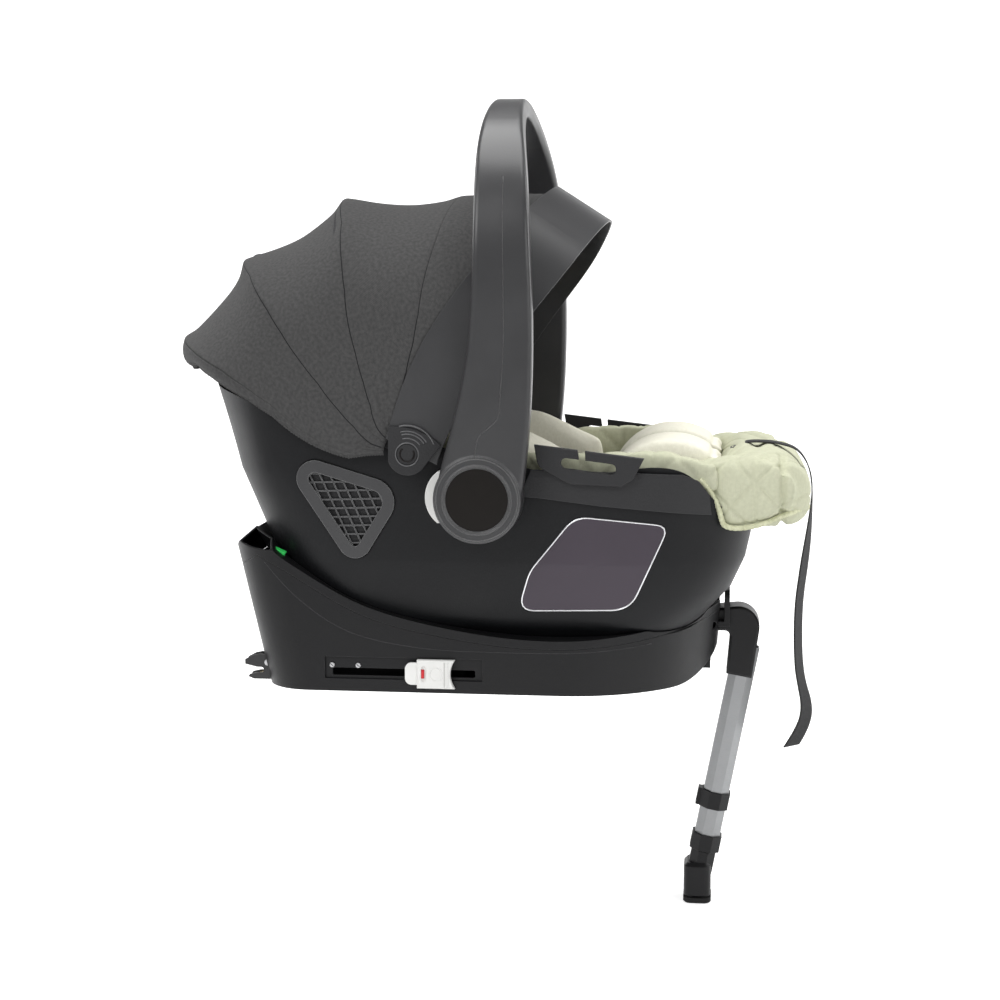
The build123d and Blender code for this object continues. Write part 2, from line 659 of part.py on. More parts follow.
def leg_elbow():
    """The cranked arm that hinges in the base's nose and holds the tube."""
    x, z = LEG_PIVOT
    with BuildPart() as elbow:
        with BuildSketch(Plane.XZ.offset(-ELBOW_WIDTH / 2)) as outline:
            with BuildLine():
                Polyline((x, z - LEG_EYE_RADIUS), *ELBOW_OUTLINE, (x, z + LEG_EYE_RADIUS), close=True)
            make_face()
            fillet(outline.vertices().group_by(Axis.X)[-1], ELBOW_OUTER_ROUND)
            fillet(outline.vertices().sort_by_distance(ELBOW_OUTLINE[0])[0], ELBOW_INNER_ROUND)
            with Locations((x, z)):
                Circle(LEG_EYE_RADIUS)
        extrude(amount=ELBOW_WIDTH)
        chamfer(elbow.faces().filter_by(Plane.XZ).edges(), 2.5)
        with Locations(Location((x, 0, z), (90, 0, 0))):
            Cylinder(LEG_PIN_RADIUS, ELBOW_WIDTH + 2 * LEG_PIN_STICK_OUT)
        with BuildSketch(leg_plane(LEG_SOCKET)):
            add(leg_section(LEG_TUBE_SIZE, LEG_TUBE_CHAMFER))
        extrude(amount=-2 * LEG_SOCKET + 6, mode=Mode.SUBTRACT)
    return elbow.part


def leg_tube():
    """The outer aluminium tube, held in the elbow's socket."""
    with BuildPart() as tube:
        with BuildSketch(leg_plane(-LEG_SOCKET + 6)):
            add(leg_section(LEG_TUBE_SIZE, LEG_TUBE_CHAMFER))
            add(leg_section(LEG_TUBE_SIZE, LEG_TUBE_CHAMFER, LEG_TUBE_WALL), mode=Mode.SUBTRACT)
        extrude(amount=LEG_TUBE_LENGTH + LEG_SOCKET - 6)
    return tube.part


def leg_collar():
    """The plastic end ring of the outer tube."""
    with BuildPart() as collar:
        with BuildSketch(leg_plane(LEG_TUBE_LENGTH - COLLAR_HEIGHT)):
            add(leg_section((LEG_TUBE_SIZE[0] + 5, LEG_TUBE_SIZE[1] + 5), LEG_TUBE_CHAMFER + 1.4))
            add(leg_section(LEG_TUBE_SIZE, LEG_TUBE_CHAMFER), mode=Mode.SUBTRACT)
        extrude(amount=COLLAR_HEIGHT + 3)
    return collar.part


def leg_lower_tube():
    """The inner tube that slides out of the outer one and carries the foot."""
    bore = LEG_TUBE_WALL + LEG_SLIDE_GAP
    with BuildPart() as tube:
        with BuildSketch(leg_plane(LEG_TUBE_LENGTH - LEG_TRAVEL - 40)):
            add(leg_section(LEG_TUBE_SIZE, LEG_TUBE_CHAMFER, bore))
            add(leg_section(LEG_TUBE_SIZE, LEG_TUBE_CHAMFER, bore + LEG_TUBE_WALL), mode=Mode.SUBTRACT)
        extrude(amount=LEG_TRAVEL + 40 + LEG_TUBE_STUB)
    return tube.part


def leg_foot():
    """The foot: a neck round the lower tube and a rounded block above the sole."""
    bore = LEG_TUBE_WALL + LEG_SLIDE_GAP
    centre = leg_plane(LEG_TUBE_LENGTH + LEG_TUBE_STUB + 20).origin
    with BuildPart() as foot:
        with BuildSketch(Plane.XY.offset(FOOT_SOLE_LEVEL + FOOT_SOLE_THICKNESS + FOOT_SOLE_GAP)):
            with Locations((centre.X, 0)):
                RectangleRounded(*FOOT_SIZE, 9)
        extrude(amount=FOOT_HEIGHT)
        chamfer(foot.faces().sort_by(Axis.Z)[-1].edges(), 4)
        with BuildSketch(leg_plane(LEG_TUBE_LENGTH + 4)):
            add(leg_section((LEG_TUBE_SIZE[0] - 1, LEG_TUBE_SIZE[1]), LEG_TUBE_CHAMFER))
        extrude(amount=26)
        with BuildSketch(leg_plane(LEG_TUBE_LENGTH)):
            add(leg_section(LEG_TUBE_SIZE, LEG_TUBE_CHAMFER, bore))
        extrude(amount=LEG_TUBE_STUB, mode=Mode.SUBTRACT)
        with Locations((centre.X - FOOT_SIZE[0] / 2, 0, FOOT_SOLE_LEVEL + FOOT_HEIGHT / 2 + 8)):
            Box(4, 16, 12, mode=Mode.SUBTRACT)
        with Locations((centre.X, 0, FOOT_SOLE_LEVEL + FOOT_SOLE_THICKNESS)):
            Cylinder(PLUNGER_RADIUS + LEG_PIN_FIT, PLUNGER_LENGTH + FOOT_SOLE_GAP + 1, mode=Mode.SUBTRACT,
                     align=(Align.CENTER, Align.CENTER, Align.MIN))
    return foot.part


def foot_sole():
    """The rubber sole on its short spring plunger."""
    centre = leg_plane(LEG_TUBE_LENGTH + LEG_TUBE_STUB + 20).origin
    with BuildPart() as sole:
        with BuildSketch(Plane.XY.offset(FOOT_SOLE_LEVEL)):
            with Locations((centre.X, 0)):
                RectangleRounded(FOOT_SIZE[0] + 1, FOOT_SIZE[1] + 1, 9)
        extrude(amount=FOOT_SOLE_THICKNESS)
        chamfer(sole.faces().sort_by(Axis.Z)[0].edges(), 1.5)
        with Locations((centre.X, 0, FOOT_SOLE_LEVEL + FOOT_SOLE_THICKNESS)):
            Cylinder(PLUNGER_RADIUS, PLUNGER_LENGTH, align=(Align.CENTER, Align.CENTER, Align.MIN))
    return sole.part


def leg_clip():
    """The height lock: a sleeve round the outer tube with a push tab at its back."""
    width, depth = LEG_TUBE_SIZE
    with BuildPart() as clip:
        with BuildSketch(leg_plane(CLIP_START)):
            add(leg_section((width + 4, depth + 4), LEG_TUBE_CHAMFER + 1.2))
            add(leg_section((width + 2 * LEG_SLIDE_GAP, depth + 2 * LEG_SLIDE_GAP), LEG_TUBE_CHAMFER + 0.2),
                mode=Mode.SUBTRACT)
        extrude(amount=CLIP_LENGTH)
        with BuildSketch(leg_plane(CLIP_START)):
            with Locations((-width / 2 - 3.5, 0)):
                Rectangle(5.4, 15)
        extrude(amount=CLIP_LENGTH)
    return clip.part


# ---------------------------------------------------------------- carrier shell and its trims

def vent_plane(side):
    """The leaning side face of the shell around a vent, with its normal pointing outwards."""
    lower, upper = SHELL_SECTIONS[-3], SHELL_SECTIONS[-2]
    lean = atan((upper[3] - lower[3]) * HALF / (upper[0] - lower[0]))
    below = (upper[0] - VENT_LEVEL) * tan(lean)
    return Plane(origin=(0, side * (HALF - below), VENT_LEVEL), x_dir=(1, 0, 0),
                 z_dir=(0, side * cos(lean), -sin(lean)))


def vent_outline(side, grow=0.0):
    """Draw the rounded triangle of a vent on the shell's side, grown or shrunk evenly."""
    with BuildSketch(mode=Mode.PRIVATE) as triangle:
        with BuildLine():
            Polyline(*[(x, side * (VENT_LEVEL - z)) for x, z in VENT_CORNERS], close=True)
        make_face()
        for (x, z), radius in zip(VENT_CORNERS, VENT_CORNER_RADII):
            fillet(triangle.vertices().sort_by_distance((x, side * (VENT_LEVEL - z)))[0], radius)
        if grow:
            offset(amount=grow, mode=Mode.REPLACE)
    return triangle.sketch


def shell():
    """The bucket: an even wall, handle bosses, canopy pins, vent openings and latch pockets."""
    with BuildPart() as bucket:
        add(shell_form())
        add(shell_form(SHELL_WALL), mode=Mode.SUBTRACT)
        add(above(SHELL_RIM), mode=Mode.SUBTRACT)
        for x in LATCH_BARS:
            with Locations((x + LATCH_POCKET_SHIFT, 0, SHELL_FLOOR)):
                Box(LATCH_POCKET[0] + 2 * SHELL_WALL, LATCH_POCKET[1] + 2 * SHELL_WALL,
                    LATCH_POCKET[2] + SHELL_WALL, align=(Align.CENTER, Align.CENTER, Align.MIN))
                Box(*LATCH_POCKET, align=(Align.CENTER, Align.CENTER, Align.MIN), mode=Mode.SUBTRACT)
        for side in (1, -1):
            root = HALF - SHELL_WALL + 0.4
            with BuildSketch(Plane.XZ.offset(-side * root)):
                with Locations(HANDLE_PIVOT):
                    Circle(PIVOT_BOSS_RADIUS)
            extrude(amount=-side * (HUB_BORE_END - PIVOT_END_GAP - root))
            with BuildSketch(Plane.XZ.offset(-side * root)):
                with Locations(CANOPY_PIVOT):
                    Circle(CANOPY_PIN_RADIUS)
            extrude(amount=-side * (VISOR_FACE + 1.5 - root))
            with BuildSketch(vent_plane(side)):
                add(vent_outline(side, SOFT_GAP))
            extrude(amount=12, both=True, mode=Mode.SUBTRACT)
    return bucket.part


def vent_grille(side):
    """A thick rounded frame with a mesh of crossing bars."""
    with BuildPart() as grille:
        with BuildSketch(vent_plane(side).offset(-SHELL_WALL + 0.5)):
            add(vent_outline(side))
            add(vent_outline(side, -VENT_FRAME), mode=Mode.SUBTRACT)
        extrude(amount=SHELL_WALL + 1.7)
        with BuildSketch(vent_plane(side).offset(-2.6)):
            with Locations((VENT_CENTRE[0], side * (VENT_LEVEL - VENT_CENTRE[1]))):
                with Locations(Rotation(0, 0, 0)):
                    with GridLocations(0, VENT_PITCH[1], 1, 16):
                        Rectangle(190, VENT_BAR, rotation=-side * 2)
                    with GridLocations(VENT_PITCH[0], 0, 16, 1):
                        Rectangle(VENT_BAR, 220, rotation=-side * 24)
            add(vent_outline(side, -VENT_FRAME + 0.5), mode=Mode.INTERSECT)
        extrude(amount=2.0)
    return grille.part


def rim_trim(side):
    """The textured strip along the side of the rim, following the shell's plan."""
    with BuildPart() as trim:
        add(shell_form(-TRIM_THICKNESS - 0.3))
        add(shell_form(-0.3), mode=Mode.SUBTRACT)
        with BuildSketch(Plane.XZ) as outline:
            with BuildLine():
                Polyline(*TRIM_OUTLINE, close=True)
            make_face()
            fillet(outline.vertices().sort_by_distance(TRIM_OUTLINE[3])[0], 12)
        extrude(amount=-side * FAR, mode=Mode.INTERSECT)
    return trim.part


def belt_guide(side):
    """The hook plate for the vehicle belt: a slot with a slanted gap in its upper bar."""
    near = HALF + TRIM_THICKNESS + 0.6
    with BuildPart() as guide:
        with BuildSketch(Plane.XZ.offset(-side * near)) as outline:
            with BuildLine():
                Polyline(*GUIDE_OUTLINE, close=True)
            make_face()
            fillet(outline.vertices().sort_by_distance(GUIDE_OUTLINE[2])[0], 9)
            fillet(outline.vertices().sort_by_distance(GUIDE_OUTLINE[-1])[0], 14)
            fillet(outline.vertices().sort_by_distance(GUIDE_OUTLINE[-2])[0], 14)
            with Locations(Location((GUIDE_SLOT[0], GUIDE_SLOT[1]), -7)):
                SlotOverall(GUIDE_SLOT[2], GUIDE_SLOT[3], mode=Mode.SUBTRACT)
            with BuildLine():
                Polyline(*GUIDE_GAP, close=True)
            make_face(mode=Mode.SUBTRACT)
        extrude(amount=-side * GUIDE_THICKNESS)
        chamfer(guide.faces().sort_by(Axis.Y)[-1 if side > 0 else 0].edges(), 0.8)
    return guide.part


def head_trim():
    """The strip round the head end of the shell."""
    with BuildPart() as trim:
        add(shell_form(-3.2))
        add(shell_form(-0.3), mode=Mode.SUBTRACT)
        with Locations((-70, 0, 265)):
            Box(90, 150, 76, mode=Mode.INTERSECT)
    return trim.part


def latch_bars():
    """The two steel bars across the pockets in the shell's floor."""
    with BuildPart() as bars:
        for x in LATCH_BARS:
            with Locations(Location((x, 0, LATCH_BAR_LEVEL), (90, 0, 0))):
                Cylinder(LATCH_BAR_RADIUS, LATCH_POCKET[1] - 0.4)
    return bars.part


# ---------------------------------------------------------------- soft lining

def lining(outer_inset, inner_inset, floor, cut, top):
    """A soft layer inside the shell, between two insets and two side-view surfaces."""
    with BuildPart() as layer:
        add(shell_form(outer_inset))
        add(above(SEAT_CURVE, floor), mode=Mode.INTERSECT)
        add(shell_form(inner_inset).intersect(above(SEAT_CURVE, cut)), mode=Mode.SUBTRACT)
        add(above(SHELL_RIM, top), mode=Mode.SUBTRACT)
    return layer.part


def foam_liner():
    """The foam block between the shell and the cover."""
    with BuildPart() as foam:
        add(shell_form(SHELL_WALL + SOFT_GAP))
        inner = shell_form(SHELL_WALL + FOAM_THICKNESS).intersect(above(SEAT_CURVE, -COVER_THICKNESS))
        add(inner, mode=Mode.SUBTRACT)
        add(above(SHELL_RIM, -6), mode=Mode.SUBTRACT)
        for x in LATCH_BARS:
            with Locations((x + LATCH_POCKET_SHIFT, 0, SHELL_FLOOR)):
                Box(LATCH_POCKET[0] + 2 * SHELL_WALL + 1, LATCH_POCKET[1] + 2 * SHELL_WALL + 1,
                    LATCH_POCKET[2] + SHELL_WALL + 0.5, align=(Align.CENTER, Align.CENTER, Align.MIN),
                    mode=Mode.SUBTRACT)
    return foam.part


def seat_cover():
    """The quilted cover that lines the foam and stands above the rim."""
    outer = SHELL_WALL + FOAM_THICKNESS + SOFT_GAP
    return lining(outer, outer + COVER_THICKNESS, SOFT_GAP - COVER_THICKNESS, 0.0, COVER_ABOVE_RIM)


def foot_cushion():
    """The padded roll over the foot end of the rim."""
    with BuildPart() as roll:
        with BuildSketch(Plane.XZ) as outline:
            with BuildLine():
                Polyline(*ROLL_OUTLINE, close=True)
            make_face()
            for corner, radius in ROLL_ROUNDS:
                fillet(outline.vertices().sort_by_distance(corner)[0], radius)
        extrude(amount=FOOT_ROLL_HALF, both=True)
        with BuildSketch(Plane.XY.offset(ROLL_LOW)) as plan:
            with Locations((ROLL_REAR + ROLL_LENGTH / 2, 0)):
                Rectangle(ROLL_LENGTH, 2 * FOOT_ROLL_HALF)
            fillet(plan.vertices().group_by(Axis.X)[-1], ROLL_CORNER)
        extrude(amount=ROLL_TOP - ROLL_LOW, mode=Mode.INTERSECT)
        with BuildSketch(Plane.YZ) as front_view:
            with Locations((0, (ROLL_LOW + ROLL_TOP) / 2)):
                Rectangle(2 * FOOT_ROLL_HALF, ROLL_TOP - ROLL_LOW)
            fillet(front_view.vertices().group_by(Axis.Y)[-1], ROLL_SHOULDER)
            fillet(front_view.vertices().group_by(Axis.Y)[0], ROLL_HEM)
        extrude(amount=SKY, mode=Mode.INTERSECT)
        below = shell_form(-SOFT_GAP).cut(above(SHELL_RIM, COVER_ABOVE_RIM + SOFT_GAP))
        add(below, mode=Mode.SUBTRACT)
        add(strip(2 * (BOLSTER_OUTER + 1), -FAR, BOLSTER_FRONT + 1), mode=Mode.SUBTRACT)
    return roll.part


def child_space():
    """The hollow inside the seat cover, with a small gap."""
    inset = SHELL_WALL + FOAM_THICKNESS + COVER_THICKNESS + 3 * SOFT_GAP
    return shell_form(inset).intersect(above(SEAT_CURVE, SOFT_GAP))


def newborn_insert():
    """The cream insert: a back mat with a raised wing along each side."""
    with BuildPart() as insert:
        add(child_space())
        with BuildSketch(Plane.XZ):
            with BuildLine():
                Polyline(*INSERT_WING, close=True)
            make_face()
        extrude(amount=FAR, both=True, mode=Mode.INTERSECT)
        middle = above(SEAT_CURVE, INSERT_MAT)
        add(middle.intersect(strip(2 * INSERT_WING_INNER)), mode=Mode.SUBTRACT)
    return insert.part


def strip(width, rear=-FAR, front=2 * FAR):
    """A tall block of a width across the middle of the seat."""
    with BuildPart() as block:
        with Locations(((rear + front) / 2, 0, 0)):
            Box(front - rear, width, 2 * SKY)
    return block.part


def head_pillow():
    """The small pillow behind the head."""
    with BuildPart() as pillow:
        add(above(SEAT_CURVE, INSERT_MAT + SOFT_GAP))
        add(above(SEAT_CURVE, INSERT_MAT + PILLOW_THICKNESS), mode=Mode.SUBTRACT)
        add(strip(2 * (INSERT_WING_INNER - 8), *PILLOW_REACH), mode=Mode.INTERSECT)
    return pillow.part


def leg_bolster(side):
    """One of the two plump cushions under the legs."""
    with BuildPart() as bolster:
        with BuildSketch(Plane.XZ.offset(-side * BOLSTER_INNER)):
            with BuildLine():
                ThreePointArc(*BOLSTER_TOP)
                Polyline(*BOLSTER_BELOW)
            make_face()
        extrude(amount=-side * (BOLSTER_OUTER - BOLSTER_INNER))
        add(child_space(), mode=Mode.INTERSECT)
    return bolster.part


# ---------------------------------------------------------------- harness

def crotch_strap():
    """The short strap between the mat and the buckle."""
    with BuildPart() as strap:
        with Locations((BUCKLE_X, 0, (CROTCH_LOW + BUCKLE_LOW) / 2)):
            Box(STRAP_THICKNESS, STRAP_WIDTH, BUCKLE_LOW - CROTCH_LOW)
    return strap.part


def buckle_body():
    """The buckle housing with a well for its button."""
    with BuildPart() as buckle:
        with BuildSketch(Plane.XY.offset(BUCKLE_LOW)):
            with Locations((BUCKLE_X, 0)):
                RectangleRounded(BUCKLE_SIZE[1], BUCKLE_SIZE[0], BUCKLE_CORNER)
        extrude(amount=BUCKLE_SIZE[2])
        fillet(buckle.faces().sort_by(Axis.Z)[-1].edges(), BUCKLE_CORNER / 2)
        with BuildSketch(Plane.YZ.offset(BUCKLE_X + BUCKLE_SIZE[1] / 2)):
            with Locations((0, BUCKLE_LOW + BUCKLE_SIZE[2] / 2)):
                RectangleRounded(BUCKLE_WELL[0], BUCKLE_WELL[1], BUCKLE_WELL_CORNER)
        extrude(amount=-BUCKLE_WELL[2], mode=Mode.SUBTRACT)
    return buckle.part


def buckle_button():
    """The red release button on the buckle's front."""
    with BuildPart() as button:
        with BuildSketch(Plane.YZ.offset(BUCKLE_X + BUCKLE_SIZE[1] / 2 + 0.5)):
            with Locations((0, BUCKLE_LOW + BUCKLE_SIZE[2] / 2)):
                RectangleRounded(BUCKLE_WELL[0] - 2 * BUTTON_GAP, BUCKLE_WELL[1] - 2 * BUTTON_GAP,
                                 BUCKLE_WELL_CORNER - BUTTON_GAP)
        extrude(amount=-BUCKLE_BUTTON_DEPTH)
    return button.part


def shoulder_straps():
    """The two shoulder straps lying on the mat."""
    with BuildPart() as straps:
        add(above(SEAT_CURVE, INSERT_MAT + SOFT_GAP))
        add(above(SEAT_CURVE, INSERT_MAT + SOFT_GAP + STRAP_THICKNESS), mode=Mode.SUBTRACT)
        add(strip(STRAP_SPAN, *STRAP_REACH), mode=Mode.INTERSECT)
        add(strip(STRAP_SPAN - 2 * STRAP_WIDTH, *STRAP_REACH), mode=Mode.SUBTRACT)
    return straps.part


def adjuster_plate():
    """The slotted plate on the foot roll that the adjuster strap comes out of."""
    with BuildPart() as plate:
        with BuildSketch(ADJUSTER_PLANE.offset(SOFT_GAP)):
            RectangleRounded(*ADJUSTER_SIZE, ADJUSTER_CORNER)
        extrude(amount=ADJUSTER_THICKNESS)
        with BuildSketch(ADJUSTER_PLANE.offset(SOFT_GAP)):
            with Locations((ADJUSTER_SLOT, 0)):
                Rectangle(WEB_THICKNESS + 2 * BUTTON_GAP, WEB_WIDTH + 2)
        extrude(amount=ADJUSTER_THICKNESS, mode=Mode.SUBTRACT)
        with BuildSketch(ADJUSTER_PLANE.offset(ADJUSTER_WELL_FLOOR)):
            with Locations((ADJUSTER_TAB_PLACE, 0)):
                RectangleRounded(*ADJUSTER_WELL, ADJUSTER_WELL_CORNER)
        extrude(amount=ADJUSTER_THICKNESS, mode=Mode.SUBTRACT)
    return plate.part


def adjuster_button():
    """The tab that frees the adjuster strap."""
    with BuildPart() as button:
        with BuildSketch(ADJUSTER_PLANE.offset(ADJUSTER_TAB_LOW)):
            with Locations((ADJUSTER_TAB_PLACE, 0)):
                RectangleRounded(*[size - 2 * BUTTON_GAP for size in ADJUSTER_WELL],
                                 ADJUSTER_WELL_CORNER - BUTTON_GAP)
        extrude(amount=ADJUSTER_TAB_HEIGHT)
    return button.part


def adjuster_strap():
    """The webbing tail that runs over the foot roll and hangs down."""
    with BuildPart() as web:
        with BuildLine(Plane.XZ) as path:
            FilletPolyline(*WEB_PATH, radius=WEB_RADII)
        with BuildSketch(Plane(origin=path.line @ 0, x_dir=(0, 1, 0), z_dir=path.line % 0)):
            Rectangle(WEB_WIDTH, WEB_THICKNESS)
        sweep(path=path.line)
    return web.part


# ---------------------------------------------------------------- carrier release

def release_side():
    """Side view of the release's legs: the loop's front, an arm back and a drop to the plate."""
    low, high = RELEASE_PLATE
    front = RELEASE_X + RELEASE_DEPTH
    drop = RELEASE_DROP + RELEASE_LEG
    overlap = RELEASE_PLATE_FRONT - 20
    with BuildSketch(mode=Mode.PRIVATE) as outline:
        with BuildLine():
            Polyline((front, RELEASE_TOP), (front, RELEASE_ARM[0]), (drop, RELEASE_ARM[0]), (drop, low),
                     (overlap, low), (overlap, high), (RELEASE_DROP, high),
                     (RELEASE_DROP, RELEASE_ARM[1]), (RELEASE_X, RELEASE_ARM[1]), (RELEASE_X, RELEASE_TOP),
                     close=True)
        make_face()
    return outline.sketch


def carrier_release():
    """The loop lever in the base's nose, its slide plate and the two hooks."""
    low, high = RELEASE_PLATE
    plate_rear = LATCH_BARS[0]
    with BuildPart() as release:
        for side in (1, -1):
            with BuildSketch(Plane.XZ.offset(-side * RELEASE_HALF)):
                add(release_side())
            extrude(amount=side * RELEASE_LEG)
        with BuildSketch(Plane.YZ.offset(RELEASE_X)):
            with Locations((0, (RELEASE_TOP + RELEASE_BRIDGE) / 2)):
                Rectangle(2 * RELEASE_HALF, RELEASE_TOP - RELEASE_BRIDGE)
        extrude(amount=RELEASE_DEPTH)
        with BuildSketch(Plane.XY.offset(low)):
            with Locations(((plate_rear + RELEASE_PLATE_FRONT) / 2, 0)):
                Rectangle(RELEASE_PLATE_FRONT - plate_rear, 2 * RELEASE_HALF)
        extrude(amount=high - low)
        for x in LATCH_BARS:
            with BuildSketch(Plane.XZ.offset(-LATCH_HALF)):
                with BuildLine():
                    rear, front = x + LATCH_POST[0], x + LATCH_POST[1]
                    tip = x + LATCH_CLAW_REACH
                    Polyline((rear, low), (front, low), (front, LATCH_CLAW[1]), (tip, LATCH_CLAW[1] - 1),
                             (tip, LATCH_CLAW[0]), (rear, LATCH_CLAW[0]), close=True)
                make_face()
            extrude(amount=2 * LATCH_HALF)
        fillet(release.faces().sort_by(Axis.Z)[-1].edges().filter_by(Axis.X), 8)
    return release.part


# ---------------------------------------------------------------- handle

def handle_frame():
    """The U-shaped carrying handle: flat arms that widen into round hubs."""
    outer = HALF + HANDLE_CLEARANCE + HANDLE_DEPTH
    with BuildPart() as handle:
        with BuildSketch(Plane.YZ.offset(-FAR)):
            add(arch_face(outer, HANDLE_TOP, corner=HANDLE_CORNER, turn=HANDLE_CORNER_TURN,
                          foot=HANDLE_PIVOT[1]))
        extrude(amount=SKY + FAR)
        with BuildSketch(Plane.XZ):
            with BuildLine():
                rear = Spline(*HANDLE_REAR_EDGE)
                front = Spline(*HANDLE_FRONT_EDGE)
                Line(rear @ 0, front @ 0)
                Line(rear @ 1, front @ 1)
            make_face()
        extrude(amount=FAR, both=True, mode=Mode.INTERSECT)
        with BuildSketch(Plane.YZ.offset(-FAR)):
            add(arch_face(outer - HANDLE_DEPTH, HANDLE_TOP - HANDLE_DEPTH,
                          corner=HANDLE_CORNER - HANDLE_DEPTH, turn=HANDLE_CORNER_TURN,
                          foot=HANDLE_PIVOT[1] - 5))
        extrude(amount=SKY + FAR, mode=Mode.SUBTRACT)
        feet = handle.edges().group_by(Axis.Z)[0]
        fillet([edge for edge in handle.edges() if edge not in feet and edge.length > HUB_RADIUS / 2],
               HANDLE_EDGE_ROUND)
        for side in (1, -1):
            with BuildSketch(Plane.XZ.offset(-side * HUB_INNER)):
                with Locations(HANDLE_PIVOT):
                    Circle(HUB_RADIUS)
            extrude(amount=-side * (outer + 1.5 - HUB_INNER))
            chamfer(handle.faces().sort_by(Axis.Y)[-1 if side > 0 else 0].edges(), HUB_EDGE)
            with BuildSketch(Plane.XZ.offset(-side * (outer + 1.5))):
                with Locations(HANDLE_PIVOT):
                    Circle(HUB_DISC_RADIUS + 0.3)
            extrude(amount=side * 3.5, mode=Mode.SUBTRACT)
            with BuildSketch(Plane.XZ.offset(-side * HUB_INNER)):
                with Locations(HANDLE_PIVOT):
                    Circle(PIVOT_BOSS_RADIUS + PIVOT_FIT)
            extrude(amount=-side * (HUB_BORE_END - HUB_INNER), mode=Mode.SUBTRACT)
            with BuildSketch(Plane.XZ.offset(-side * (HUB_INNER - 1))):
                add(button_outline(0.4, BUTTON_TRAVEL))
            extrude(amount=-side * (BUTTON_HEIGHT + 1.8), mode=Mode.SUBTRACT)
    return handle.part


def button_outline(grow=0.0, shift=0.0):
    """Side view of the release button behind the hub: an outer bow and a flat front."""
    x, z = HANDLE_PIVOT
    with BuildSketch(mode=Mode.PRIVATE) as outline:
        with BuildLine():
            high = z + BUTTON_HALF + grow
            low = z - BUTTON_HALF - grow
            bow = x - BUTTON_SHOULDER - grow
            front = x - BUTTON_FRONT + shift + grow
            ThreePointArc((bow, high), (x - BUTTON_BACK - grow, z), (bow, low))
            Polyline((bow, low), (front, low), (front, high), (bow, high))
        make_face()
    return outline.sketch


def handle_button(side):
    """The white release button in the back of a hub."""
    with BuildPart() as button:
        with BuildSketch(Plane.XZ.offset(-side * (HUB_INNER + 1))):
            add(button_outline())
        extrude(amount=-side * (BUTTON_HEIGHT - 0.6))
    return button.part


def hub_disc(side):
    """The dark disc in a hub's outer face."""
    outer = HALF + HANDLE_CLEARANCE + HANDLE_DEPTH
    with BuildPart() as disc:
        with BuildSketch(Plane.XZ.offset(-side * (outer - 1.7))):
            with Locations(HANDLE_PIVOT):
                Circle(HUB_DISC_RADIUS)
        extrude(amount=-side * 2.4)
    return disc.part


# ---------------------------------------------------------------- canopy

def canopy_bow(number):
    """One flat bow with an eye at each end round the canopy pin."""
    direction, reach = BOWS[number]
    inner = HALF + BOW_START + (number - 1) * BOW_LAYER
    outer = inner + BOW_THICKNESS
    with BuildPart() as bow:
        with BuildSketch(canopy_plane(direction)):
            add(arch_face(outer, reach))
            add(arch_face(inner, reach - BOW_THICKNESS, corner=BOW_CORNER - BOW_THICKNESS, foot=-60),
                mode=Mode.SUBTRACT)
        extrude(amount=BOW_WIDTH / 2, both=True)
        for side in (1, -1):
            with BuildSketch(Plane.XZ.offset(-side * inner)):
                with Locations(CANOPY_PIVOT):
                    Circle(BOW_EYE_RADIUS)
            extrude(amount=-side * BOW_THICKNESS)
            with BuildSketch(Plane.XZ.offset(-side * (inner - 1))):
                with Locations(CANOPY_PIVOT):
                    Circle(CANOPY_PIN_RADIUS + PIN_FIT)
            extrude(amount=-side * (BOW_THICKNESS + 2), mode=Mode.SUBTRACT)
    return bow.part


def canopy_panel(rear, front):
    """The fabric between two side-view directions, each with its own reach."""
    half = HALF + FABRIC_START
    with BuildPart() as panel:
        for (direction, reach), shift in ((rear, 0.15), (front, -0.15)):
            with BuildSketch(canopy_plane(direction, shift)):
                add(arch_face(half + FABRIC, reach, foot=FABRIC_FOOT))
        loft()
    with BuildPart() as inside:
        for (direction, reach), shift in ((rear, 0.15), (front, -0.15)):
            with BuildSketch(canopy_plane(direction, shift)):
                add(arch_face(half, reach - FABRIC, corner=BOW_CORNER - FABRIC, foot=FABRIC_FOOT - 12))
        loft()
    return panel.part.cut(inside.part)


def visor():
    """The stiff front band of the canopy."""
    with BuildPart() as band:
        with BuildSketch(canopy_plane(VISOR_DIRECTION)):
            add(arch_face(HALF + VISOR_START + VISOR_THICKNESS, VISOR_REACH, foot=-25))
            add(arch_face(HALF + VISOR_START, VISOR_REACH - VISOR_THICKNESS,
                          corner=BOW_CORNER - VISOR_THICKNESS, foot=-60), mode=Mode.SUBTRACT)
        extrude(amount=90, both=True)
        with BuildSketch(Plane.XZ):
            with BuildLine():
                rear = Spline(*VISOR_REAR_EDGE)
                front = Spline(*VISOR_FRONT_EDGE)
                Line(rear @ 0, front @ 0)
                Line(rear @ 1, front @ 1)
            make_face()
        extrude(amount=FAR, both=True, mode=Mode.INTERSECT)
        for side in (1, -1):
            with BuildSketch(Plane.XZ.offset(-side * (HALF + VISOR_START))):
                with Locations(CANOPY_PIVOT):
                    Circle(BOW_EYE_RADIUS + 10)
            extrude(amount=-side * VISOR_THICKNESS)
            with BuildSketch(Plane.XZ.offset(-side * HALF)):
                with Locations(CANOPY_PIVOT):
                    Circle(CANOPY_PIN_RADIUS + PIN_FIT)
            extrude(amount=-side * 30, mode=Mode.SUBTRACT)
    return band.part


